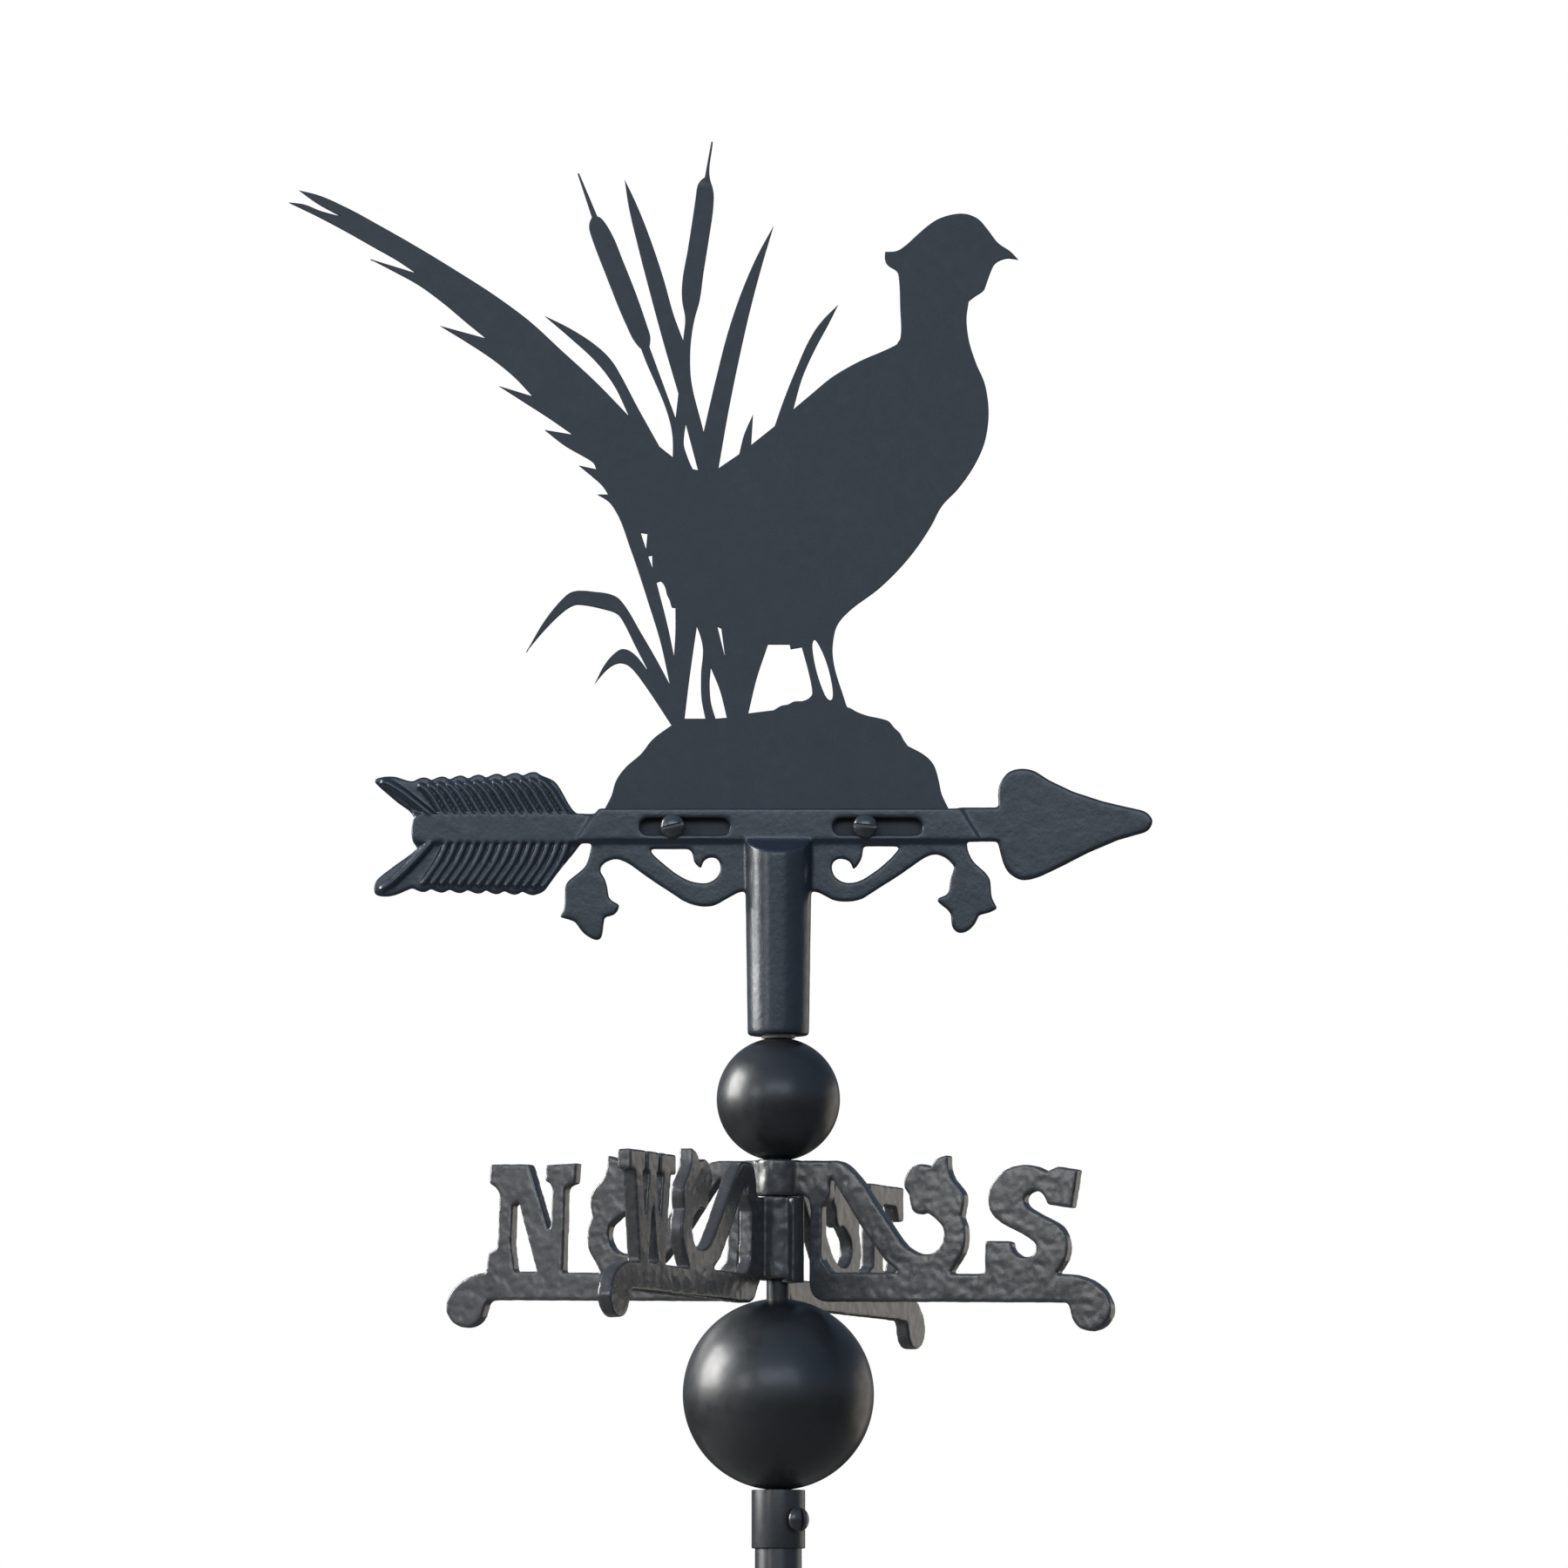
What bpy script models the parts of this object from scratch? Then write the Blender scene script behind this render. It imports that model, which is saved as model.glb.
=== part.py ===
"""Garden weather vane: a pheasant plate on a cast arrow that turns on a spindle
above two cast compass arms, two hollow balls and a clamped pole socket.

Metres, +Z up. The origin is at the foot of the pole, on its axis. The arrow points along +X.
"""
import math

import bmesh
import bpy
from mathutils import Matrix, Vector

MM = 0.001
GAP = 0.3                     # mm, clearance kept between pieces that touch
ROUND = 40                    # sides of a turned piece
EDGE_BREAK, TIP_BREAK = 0.6, 0.4   # chamfers on turned ends and on screw tips
OVERCUT = 5.0                 # a cutter runs this far past the metal

# Pole and socket, mm
POLE_EXPOSED = 300.0          # pole showing below the socket
POLE_OD, POLE_ID = 25.0, 21.0
POLE_IN_SOCKET = 20.0
FOOT_FLANGE, FOOT_STEM = 3.0, 20.0
SOCKET_OD, SOCKET_ID, SOCKET_LENGTH = 28.6, 25.6, 31.0
SEAT_THICKNESS = 6.5
CLAMP_HEIGHT = 15.0           # clamp screw above the socket's lower end
CLAMP_ANGLE = -52.0           # degrees from +X
CLAMP_STANDOFF = 2.5          # the clamp screw's head stands this far off the socket

# Spindle and balls, mm
SPINDLE_D, STUD_D = 12.7, 10.0
STUD_BELOW_SEAT, LOCK_NUT_AF, LOCK_NUT_T = 10.0, 17.0, 8.0
BORE = SPINDLE_D + 2 * GAP
BIG_BALL_R, SMALL_BALL_R, BALL_WALL = 51.0, 33.0, 1.2

# Compass castings, mm
CAST_THICKNESS = 7.7
HUB_R = 12.3
NS_TURN, WE_TURN = -24.6, 64.5    # degrees from the arrow to the south and the east arm
COMPASS_BAR_BOTTOM = 131.4    # above the socket's lower end
NS_HUB, WE_HUB = (56.5, 75.0), (14.0, 57.1)   # hub heights above the bar's underside
NS_LEAN, WE_LEAN = 1.3, 0.5   # degrees that each casting tips in its hub's clearance
WE_DROP = 2.2                 # lower casting's bar sits this much lower
WE_OFFSET = 6.5               # lower casting's arms pass this far beside the axis
HUB_LIP = 0.4                 # the hub stands this much proud of the arms
GRUB_D, GRUB_LENGTH = 5.0, 5.0
GRUB_CLEAR, GRUB_HOLE_START = 0.5, 2.0   # tip off the spindle; hole's start from the axis
NS_GRUB, WE_GRUB = 135.0, -45.0   # degrees from each casting's right arm to its grub screw
LUG_ANGLE, LUG_WIDTH, LUG_REACH, LUG_DROP = -109.5, 9.0, 15.5, 2.5   # lower hub's lug

# Arrow casting, mm; heights are from the bar's centreline
BAR_CENTRE = 386.7            # above the socket's lower end
BAR_HALF, BAR_THICKNESS = 8.8, 8.0
SHAFT_THICKNESS, SCROLL_THICKNESS = 6.0, 5.0
SLEEVE_BOTTOM, SLEEVE_SHOULDER = 273.5, 371.0   # the shoulder slopes up to the bar's faces
SLEEVE_R_BOTTOM, SLEEVE_R_TOP = 16.5, 18.0
SLEEVE_JOIN, SLEEVE_BREAK = 0.5, 0.8   # how far it runs up into the bar; foot's chamfer
WEDGE_CLEAR = 0.05            # the shoulder's slope stops this far outside the bar's face
BEARING_OD = 17.9
LOWER_BUSH_TOP, UPPER_BUSH = 302.0, (332.0, 358.0)   # above the socket's lower end
BUSH_SEAT = 0.3               # the lower bush starts this far below the small ball's crown
BEARING_BORE = BEARING_OD + 2 * GAP
PIVOT_BALL_R = 4.5
BORE_TOP = 369.8
SLOT_HEIGHT, SLOT_Z = 9.0, -1.0
SLOTS = ((-74.2, -25.9), (29.3, 77.2))

# Motif plate and its fixings, mm
MOTIF_THICKNESS = 3.0
MOTIF_WIDE, MOTIF_TALL = 1.008, 1.0165   # size of the plate against its drawing
SCREW_X = (-56.7, 46.5)
SCREW_D, SCREW_HEAD_D, SCREW_HEAD_H, SCREW_END = 6.0, 13.0, 4.2, 17.0
SCREW_DOME = ((0.0, 0.9), (0.6, 2.2), (2.2, 3.5), (4.4, 4.2))   # in from the rim, up from under
SLOT_CUT_WIDTH, SLOT_CUT_DEPTH = 1.4, 1.5
WASHER_D, WASHER_T, NUT_AF, NUT_T = 14.0, 1.5, 10.0, 5.0

MOTIF_FRONT = BAR_THICKNESS / 2 + GAP
SOCKET_TOP = SOCKET_LENGTH
BIG_BALL_Z = SOCKET_TOP + GAP + math.sqrt(BIG_BALL_R ** 2 - (BORE / 2) ** 2)
NS_TOP = COMPASS_BAR_BOTTOM + NS_HUB[1] + HUB_LIP
SMALL_BALL_Z = NS_TOP + GAP + math.sqrt(SMALL_BALL_R ** 2 - (BORE / 2) ** 2)
SPINDLE_TOP = BORE_TOP - 2 * PIVOT_BALL_R - 2 * GAP

# Outlines, mm. Each stroke is one smooth run that starts where the last one ended;
# the plate has a corner where two strokes meet.
PHEASANT_TAIL_TOP = [
    [(-257, 339.5), (-247, 337), (-231, 330), (-213.5, 320.5), (-192.5, 308.5), (-172, 296),
     (-152.5, 283.5), (-133.5, 269.5), (-116, 253.5), (-97.5, 236.5), (-80, 218.5)]]
LEAF_BEHIND_TAIL = [
    [(-88, 235), (-98, 248), (-111, 260), (-125, 272)],
    [(-111, 265), (-98, 256.5), (-90, 249), (-84.5, 240.5), (-75.5, 223.5), (-63.5, 202)],
    [(-56.5, 196.5)], [(-56.5, 205)]]
BULRUSH_LEFT = [
    [(-73.5, 254.5)],
    [(-77, 258.5), (-82, 268.5), (-92, 293), (-100, 314), (-101.5, 320.5), (-100, 325)],
    [(-107.7, 348.5)], [(-106.8, 348.6)], [(-97, 325.5)],
    [(-94.5, 324), (-89.5, 316.5), (-83, 301), (-75.5, 282), (-70, 266), (-68.5, 260.5),
     (-69, 255.5)],
    [(-55, 217.5)]]
LEAF_UPRIGHT = [
    [(-53.5, 230.5)],
    [(-61, 256), (-68.5, 283.5), (-75.5, 310.5), (-80.5, 332), (-82.5, 345.5)],
    [(-76.5, 333), (-68.5, 313), (-61.5, 292), (-55.5, 271), (-51, 259)]]
BULRUSH_RIGHT = [
    [(-50, 271.5)],
    [(-51.5, 280), (-51.5, 290), (-48.5, 308), (-44.3, 336), (-43, 343), (-39.5, 346.5)],
    [(-36, 365.7)], [(-35.2, 365.7)], [(-36.5, 345)],
    [(-35, 340), (-34.7, 333), (-37, 315), (-40, 296), (-42.5, 279), (-44.5, 272)],
    [(-47, 241.5)], [(-40, 210)]]
LEAF_TALL = [
    [(-33.5, 238), (-26.5, 265), (-18.7, 287.5), (-11, 305), (-2.5, 320.5)],
    [(-8, 302), (-14.8, 276.5), (-20.5, 251.5), (-26.5, 222), (-32, 190.5)]]
LEAF_SHORT = [
    [(-21, 198)], [(-18.5, 208), (-13.5, 219.5)], [(-14.5, 203)], [(-2, 213)]]
LEAF_BEHIND_BACK = [
    [(2.5, 226), (9.5, 243.5), (17, 260), (23.5, 269.5), (32, 278)],
    [(27, 268), (20, 255), (13, 239.5), (8, 222)]]
PHEASANT_BACK = [
    [(17.5, 230), (28, 238.7), (42, 247), (61, 255.5), (64, 258), (65.5, 262), (65.2, 276.5),
     (64.5, 292.5), (63, 296.5), (58.5, 299.5), (57, 303), (57.2, 306.5)]]
PHEASANT_HEAD = [
    [(62.5, 306.7), (67, 309), (76, 317), (85.5, 324), (97.5, 327), (106.5, 324.5), (112.5, 318),
     (118, 311), (124.5, 306.5), (128.5, 302.3)],
    [(122.5, 303), (116.5, 300.5), (113.5, 295), (110.5, 286.5), (106, 283), (102, 280)]]
PHEASANT_BREAST = [
    [(100.8, 270.5), (102, 259), (105.7, 247), (110.5, 235.5), (112.5, 220.5), (110.5, 205),
     (104.5, 191.5), (96, 179.5), (87.5, 170.5), (81.5, 159.5), (70, 143), (54.5, 127),
     (37, 113.5), (30.7, 105), (29, 95)]]
ROCK_RIGHT = [
    [(35.5, 66.5), (38.5, 62.5), (46, 59), (56.5, 56.5), (59.5, 55), (61.5, 52.5), (65, 49),
     (69, 42.5), (78, 37.5), (83, 32), (85.5, 24), (87, 17), (90.5, 9.5)]]
MOTIF_TAB = [[(88, -7.6)], [(-88, -7.6)], [(-92.5, 9)]]
ROCK_LEFT = [[(-89, 16), (-86.5, 24), (-81.5, 31), (-73, 38.5), (-67.5, 45.5), (-57, 53.5)]]
GRASS_LOW = [
    [(-71, 74.5), (-78.5, 84), (-83.5, 86.5), (-88, 85.5), (-92.5, 82), (-98, 75.5)],
    [(-92.5, 86), (-86.5, 92.5), (-82, 94), (-76.5, 91), (-69.5, 82.5)]]
GRASS_HIGH = [
    [(-76.5, 96), (-82.5, 108), (-86.5, 113), (-94, 115.5), (-104, 117.5), (-110, 117),
     (-117.5, 111.5), (-128, 100.5), (-134.5, 92.5)],
    [(-124.5, 109.5), (-114.5, 121.5), (-108, 125), (-98, 124.5), (-89, 123), (-83, 118.5),
     (-73.5, 103), (-64.5, 87.5), (-58, 75.5)]]
GRASS_EDGE = [[(-63, 98), (-69.5, 119), (-78.5, 146), (-87.5, 168.5)]]
TAIL_BARBS = [
    [(-90.5, 172.5), (-96.7, 176.5)], [(-91, 176.5)],
    [(-94, 181), (-100, 186.5), (-106.7, 192)], [(-97.5, 190)],
    [(-99, 193.5), (-103.5, 196.5), (-114, 202.5), (-125, 211)], [(-110, 208.5)],
    [(-123, 217.5), (-137, 226.5), (-149.5, 234.5)], [(-131.5, 229)],
    [(-141.5, 239.5), (-152.5, 248.5), (-166, 257.5), (-181, 266.7)], [(-156.5, 260)],
    [(-167, 268.5), (-179.5, 279), (-192.5, 288.5), (-206, 296), (-218.5, 302.5)], [(-194, 295)],
    [(-204.5, 302), (-216, 308.5), (-231, 317), (-246, 325), (-262.5, 333)],
    [(-254.5, 332), (-245.5, 328.5), (-234.5, 325.5)], [(-248, 333), (-257, 339.5)]]
MOTIF_OUTLINE = (
    PHEASANT_TAIL_TOP + LEAF_BEHIND_TAIL + BULRUSH_LEFT + LEAF_UPRIGHT + BULRUSH_RIGHT + LEAF_TALL
    + LEAF_SHORT + LEAF_BEHIND_BACK + PHEASANT_BACK + PHEASANT_HEAD + PHEASANT_BREAST
    + ROCK_RIGHT + MOTIF_TAB + ROCK_LEFT + GRASS_LOW + GRASS_HIGH + GRASS_EDGE + TAIL_BARBS)
MOTIF_WINDOWS = [
    [[(-49.5, 214)], [(-50.5, 203), (-46.5, 191.5), (-45.5, 190)], [(-43, 189.5)], [(-49.5, 214)]],
    [[(19, 99)], [(18.2, 96), (19.5, 86), (24, 71.5), (27, 67), (28.9, 68.5), (28.3, 76.5),
                  (24.5, 90), (20.5, 98), (19, 99)]],
    [[(-5.5, 96.5)], [(6, 96.5)], [(6.5, 94)], [(12.5, 95)],
     [(16.5, 80), (18, 71.5), (17, 68.5), (13.5, 66.5), (8, 66), (5, 64.5), (2, 64),
      (-2.5, 61.5), (-16, 59.8)], [(-11.5, 78.5), (-5.5, 96.5)]],
    [[(-43.5, 106)], [(-40.5, 96), (-41.3, 80), (-41, 67.5), (-39, 57)], [(-50, 57)],
     [(-47.2, 80), (-43.5, 106)]],
    [[(-36, 84)], [(-36.6, 76.5), (-36, 66), (-33.5, 57)], [(-27.5, 57.5)], [(-31.5, 73),
                                                                       (-36, 84)]],
    [[(-32.5, 106)], [(-30.5, 105)], [(-28.5, 90)], [(-32.5, 106)]],
    [[(-65, 129.5)], [(-62.5, 130), (-60.5, 127), (-59.5, 123), (-58, 120), (-57, 116.5),
                      (-55, 116)], [(-55, 103), (-55.7, 90.5)], [(-58.5, 104), (-65, 129.5)]],
    [[(-73.5, 156)], [(-70, 155.5)], [(-70.7, 147.5)], [(-73.5, 156)]],
    [[(-69.5, 143.5)], [(-67.5, 144)], [(-67.3, 137.5)], [(-69.5, 143.5)]]]

ARROW_HEAD = [
    [(97, 9.4)], [(117.5, 9.4)],
    [(118.2, 11.5), (117.8, 16.5), (119, 22.5), (123.5, 28.5), (131, 30.4), (138, 28.8),
     (145.5, 24), (158, 18), (174, 12.7), (190, 9), (196.5, 7.3), (200.3, 3.5), (200.3, 0),
     (196.5, -4), (182.5, -8), (166, -15), (153.5, -21.5), (141, -27.5), (131, -29.7),
     (123.5, -25.7), (120, -19), (118.6, -13.5), (117.5, -8.9)],
    [(97, -8.9)], [(97, 9.4)]]
VANE_ROOT = -107.0            # where both rows of feathers meet the bar
FEATHER_LEFT, FEATHER_RIGHT, FEATHERS = -196.0, -127.5, 7
FEATHER_TOP, FEATHER_LOW = (23.5, 27.0), (-34.0, -36.0)
FEATHER_BULGE = 2.2
SHAFT_TOP, SHAFT_LOW = 6.0, -9.8

SCROLL_LEFT = [
    [(-22, -6)], [(-99.5, -6)],
    [(-100.5, -13), (-103, -21.5), (-107.5, -26), (-112, -29.5), (-114.3, -33.5),
     (-114.5, -42.5), (-115.5, -47), (-117.5, -49.5)],
    [(-113.5, -50.5), (-109, -52)],
    [(-105.5, -57), (-102, -60), (-97.3, -62), (-94.5, -60), (-93.7, -54), (-93, -49.5)],
    [(-89, -48.7), (-86.3, -46.5), (-85.2, -43), (-88, -41.5), (-90.8, -39), (-91.5, -34),
     (-93, -29), (-95.3, -25.5)],
    [(-95, -22.5), (-92.5, -20), (-88.5, -18.5), (-85, -18.7), (-79.5, -21.2), (-73.5, -25.7),
     (-66, -31), (-57.5, -36.5), (-51.5, -40.5), (-45.5, -43), (-39, -44), (-33.5, -43),
     (-29, -40.5), (-22, -36.5), (-12, -34)],
    [(-12, -6)], [(-22, -6)]]
SCROLL_LEFT_WINDOW = [
    [(-68.5, -13)], [(-48, -13)],
    [(-46, -15.2), (-45.3, -19.5), (-43.3, -22), (-41.3, -23.7)],
    [(-40.5, -20.5), (-39, -18.5), (-36, -17.5), (-33, -18.2), (-31.2, -21), (-31.3, -25.3),
     (-34, -29.2), (-38.5, -31.3), (-44, -31), (-49.5, -29.3), (-56.5, -25), (-63, -19.7),
     (-67.5, -15.5), (-68.5, -13)]]
SCROLL_RIGHT = [
    [(22, -6)], [(12, -6)], [(12, -34)],
    [(22, -36.5), (29, -40.3), (37.5, -41.3), (45.5, -39.5), (54, -34), (65, -27), (75.5, -19.5),
     (81, -16.5), (85.5, -16), (90.5, -18.3), (94.5, -22.5)],
    [(92.2, -29), (91.5, -35), (89.5, -38), (85.5, -39.3), (85.7, -41.7), (90.5, -45.5),
     (92.5, -48)],
    [(93, -54.5), (96.5, -58), (101.5, -57), (105.5, -53), (107.5, -48.5)],
    [(113.5, -47), (117.5, -45)],
    [(115.5, -41.5), (114.2, -38), (113.8, -30.5), (110.7, -25.3), (105, -20.3), (101.7, -14),
     (100.5, -6)],
    [(22, -6)]]
SCROLL_RIGHT_WINDOW = [
    [(45.5, -11.5)], [(45, -17), (42.7, -21.5), (40, -24.5)],
    [(39, -20.7), (36.5, -18.8), (32.5, -18.2), (29.5, -20), (28.7, -23.5), (30.5, -28),
     (35, -30.8), (40.5, -31), (46.5, -28.7), (54, -23.5), (60, -18.2), (65, -12.5)],
    [(63.5, -11.5)], [(45.5, -11.5)]]

# One compass arm, u outwards from the axis and w up from the bar's underside
CREST, ARM_INNER = 75.0, 20.6
ARM_CREST = [[(38.5, 74.3), (42, 72), (46.5, 67.8), (50.5, 63.3), (61.5, 48),
                            (69.5, 37.5), (76, 29.8), (82.5, 26.2), (88.3, 25.2), (93.2, 26.3),
                            (96.5, 29.5), (98.4, 34), (98, 39.3), (94.7, 42.8), (90.7, 45.9),
                            (87, 47.2), (83.9, 46.2)]]
ARM_BELLFLOWER = [
    [(80.8, 47.5), (79, 51.2), (78, 56.3), (75.4, 60), (74.9, 64), (76.7, 68.5), (80.2, 71.9),
     (85, 73), (90.8, 71.8)],
    [(92.5, 74.8), (95.4, 76.7), (99.8, 78)],
    [(100, 72), (102, 66), (106, 61.5), (109.3, 57), (109.5, 51.5), (108.3, 45.3)],
    [(110.4, 40), (111, 34), (109.7, 26.5), (105.5, 20), (102.5, 15)]]
ARM_KNOB = [[(168, 15)], [(175, 14.5), (183, 11.8), (190.5, 6.5), (194.7, -1), (194.3, -7.5),
                          (190, -12.8), (183.5, -15), (177, -13.3), (173, -8.5), (171.5, -3),
                          (169.5, -0.5), (166, 0)]]
ARM_WINDOW = [
    [(32.5, 66)], [(37.7, 58.5), (43.3, 50.3), (50.7, 39.3), (58.8, 29), (64.5, 22), (73, 15.5)],
    [(33.5, 15.5)], [(30, 19.5), (27.6, 25), (27.2, 50)], [(30, 53), (32, 57), (31.5, 62),
                                                         (32.5, 66)]]
# Letters, mm: strokes from the foot's left end, over the top, to the foot's right end
LETTER_N = dict(start=118.5, width=52.8, strokes=[
    [(0, 15)], [(0.5, 20), (1, 25.5)], [(4.5, 27), (6.4, 30), (7, 42), (7, 57.5)],
    [(5, 60.5), (1, 63)], [(1, 73.4)], [(24.5, 73.4)], [(37, 38)], [(38.5, 42), (38.7, 60)],
    [(37, 63), (34.4, 64.2)], [(34.4, 73)], [(52.8, 74)], [(52.3, 63)], [(47.5, 61.5), (46.2, 59)],
    [(46, 15)]], hole=[
    [(15, 51)], [(14.8, 30)], [(17, 15.5)], [(30.5, 15.5)], [(18.6, 53)], [(15, 51)]])
LETTER_S = dict(start=122.5, width=47.5, strokes=[
    [(0, 15)], [(0, 32.2)], [(14.3, 32.2)],
    [(15.8, 27.5), (20.5, 24.3), (26.5, 24.3), (29.3, 27.9), (27.5, 32), (20.9, 35.9),
     (9.3, 41.4), (3.4, 46.7), (1, 53.4), (2.6, 61), (7.7, 67.5), (13.7, 71.2), (20.9, 72.5),
     (28.5, 71.6), (35, 69)],
    [(40.6, 71.7)], [(52.2, 69.9)], [(49.2, 49.5)], [(35.3, 51.6)],
    [(32.5, 57), (27.7, 58.8), (23.3, 57), (21.9, 53), (24.8, 49.5), (32.9, 45.4), (41.6, 41),
     (46, 35.2), (47.2, 28.5), (45.8, 21.9), (41, 15)]], hole=None)
LETTER_W = dict(start=118.5, width=54.0, strokes=[
    [(12, 15)], [(5.7, 62)], [(0, 62.5)], [(0, 73)], [(18, 73)], [(18, 62.5)], [(14.7, 62)],
    [(18.7, 37)], [(22.7, 62)], [(20.3, 62.5)], [(20.3, 73)], [(33.7, 73)], [(33.7, 62.5)],
    [(31.3, 62)], [(35.3, 37)], [(39.3, 62)], [(36, 62.5)], [(36, 73)], [(54, 73)], [(54, 62.5)],
    [(48.3, 62)], [(42, 15)]], hole=[
    [(22, 15.5)], [(27, 48)], [(32, 15.5)], [(22, 15.5)]])
LETTER_E = dict(start=121.5, width=47.0, strokes=[
    [(0, 15)], [(0, 25.5)], [(5, 27.5)], [(5, 60.5)], [(0, 62.5)], [(0, 73)], [(44, 73)],
    [(44, 54)], [(37.5, 54)], [(34, 62)], [(18, 62)], [(18, 50)], [(25, 50)], [(25, 55)],
    [(31, 55)], [(31, 34)], [(25, 34)], [(25, 39.5)], [(18, 39.5)], [(18, 26)], [(35, 26)],
    [(39, 35)], [(46, 35)], [(45, 15)]], hole=None)


def clear_scene():
    for obj in list(bpy.data.objects):
        bpy.data.objects.remove(obj, do_unlink=True)


def material(name, colour, metallic, roughness):
    mat = bpy.data.materials.get(name) or bpy.data.materials.new(name)
    mat.use_nodes = True
    shader = mat.node_tree.nodes["Principled BSDF"]
    shader.inputs["Base Color"].default_value = (*colour, 1.0)
    shader.inputs["Metallic"].default_value = metallic
    shader.inputs["Roughness"].default_value = roughness
    return mat


def coated():
    return material("black_powder_coat", (0.030, 0.034, 0.040), 0.2, 0.42)


def slate():
    return material("slate_powder_coat", (0.042, 0.052, 0.063), 0.0, 0.55)


def rough_casting():
    return material("painted_casting", (0.026, 0.030, 0.036), 0.2, 0.38)


def bright_steel():
    return material("zinc_plated_steel", (0.55, 0.56, 0.57), 1.0, 0.35)


def plug_plastic():
    return material("black_nylon", (0.03, 0.03, 0.03), 0.0, 0.5)


def pale_plastic():
    return material("natural_nylon", (0.55, 0.54, 0.50), 0.0, 0.45)


def add_object(name, bm, mat):
    """Put a finished bmesh, in millimetres, into the scene as one named piece."""
    bmesh.ops.remove_doubles(bm, verts=bm.verts[:], dist=0.002)
    bmesh.ops.recalc_face_normals(bm, faces=bm.faces[:])
    bmesh.ops.scale(bm, vec=(MM, MM, MM), verts=bm.verts[:])
    mesh = bpy.data.meshes.new(name)
    bm.to_mesh(mesh)
    bm.free()
    mesh.shade_smooth()
    mesh.set_sharp_from_angle(angle=math.radians(30))
    obj = bpy.data.objects.new(name, mesh)
    bpy.context.scene.collection.objects.link(obj)
    if mat:
        obj.data.materials.append(mat)
    return obj


def smooth_run(points, max_turn=9.0, most=6):
    """Catmull-Rom curve through the points, with more steps where it turns more."""
    vecs = [Vector(p) for p in points]
    if len(vecs) < 3:
        return vecs[1:]
    ends = [vecs[0] * 2 - vecs[1]] + vecs + [vecs[-1] * 2 - vecs[-2]]
    out = []
    for a, b, c, d in zip(ends, ends[1:], ends[2:], ends[3:]):
        leave, arrive = (c - a), (d - b)
        turn = math.degrees(leave.angle(arrive, 0.0))
        steps = min(most, max(1, math.ceil(turn / max_turn)))
        for i in range(1, steps + 1):
            t = i / steps
            out.append(0.5 * (2 * b + (c - a) * t + (2 * a - 5 * b + 4 * c - d) * t ** 2
                              + (3 * b - a - 3 * c + d) * t ** 3))
    return out


def loop_points(strokes):
    """Join the strokes into one closed loop without a repeated last point."""
    points = [Vector(strokes[0][0])]
    if len(strokes[0]) > 1:
        points += smooth_run(strokes[0])
    for stroke in strokes[1:]:
        start = points[-1]
        points += [Vector(stroke[0])] if len(stroke) == 1 else smooth_run([start] + stroke)
    if (points[0] - points[-1]).length < 0.05:
        points.pop()
    return points


def slab(loops, front, back):
    """Fill closed XZ loops, the first outside and the rest holes, and extrude along Y."""
    bm = bmesh.new()
    edges = []
    for loop in loops:
        verts = [bm.verts.new((p.x, front, p.y)) for p in loop]
        edges += [bm.edges.new((a, b)) for a, b in zip(verts, verts[1:] + verts[:1])]
    bmesh.ops.triangle_fill(bm, edges=edges, use_beauty=True)
    grown = bmesh.ops.extrude_face_region(bm, geom=bm.faces[:])
    moved = [v for v in grown["geom"] if isinstance(v, bmesh.types.BMVert)]
    bmesh.ops.translate(bm, vec=(0, back - front, 0), verts=moved)
    bmesh.ops.recalc_face_normals(bm, faces=bm.faces[:])
    return bm


def lathe(profile, sides=ROUND):
    """Turn a closed (radius, height) profile about Z."""
    bm = bmesh.new()
    verts = [bm.verts.new((r, 0, z)) for r, z in profile]
    edges = [bm.edges.new((a, b)) for a, b in zip(verts, verts[1:] + verts[:1])]
    bmesh.ops.spin(bm, geom=verts + edges, cent=(0, 0, 0), axis=(0, 0, 1),
                   angle=2 * math.pi, steps=sides, use_duplicate=False)
    bmesh.ops.remove_doubles(bm, verts=bm.verts[:], dist=0.002)
    bmesh.ops.recalc_face_normals(bm, faces=bm.faces[:])
    return bm


def rod(radius, low, high, chamfer=0.0, sides=ROUND):
    profile = [(0, low), (radius - chamfer, low), (radius, low + chamfer),
               (radius, high - chamfer), (radius - chamfer, high), (0, high)]
    return lathe(unique(profile), sides)


def tube(outer, inner, low, high, sides=ROUND):
    return lathe([(inner, low), (outer, low), (outer, high), (inner, high)], sides)


def unique(profile):
    return [p for i, p in enumerate(profile) if i == 0 or p != profile[i - 1]]


def box(low, high):
    bm = bmesh.new()
    bmesh.ops.create_cube(bm, size=1.0)
    bmesh.ops.scale(bm, vec=[b - a for a, b in zip(low, high)], verts=bm.verts[:])
    return shift(bm, *[(a + b) / 2 for a, b in zip(low, high)])


def shift(bm, x=0.0, y=0.0, z=0.0):
    bmesh.ops.translate(bm, vec=(x, y, z), verts=bm.verts[:])
    return bm


def turn(bm, axis, degrees):
    bmesh.ops.rotate(bm, matrix=Matrix.Rotation(math.radians(degrees), 3, axis),
                     cent=(0, 0, 0), verts=bm.verts[:])
    return bm


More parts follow.
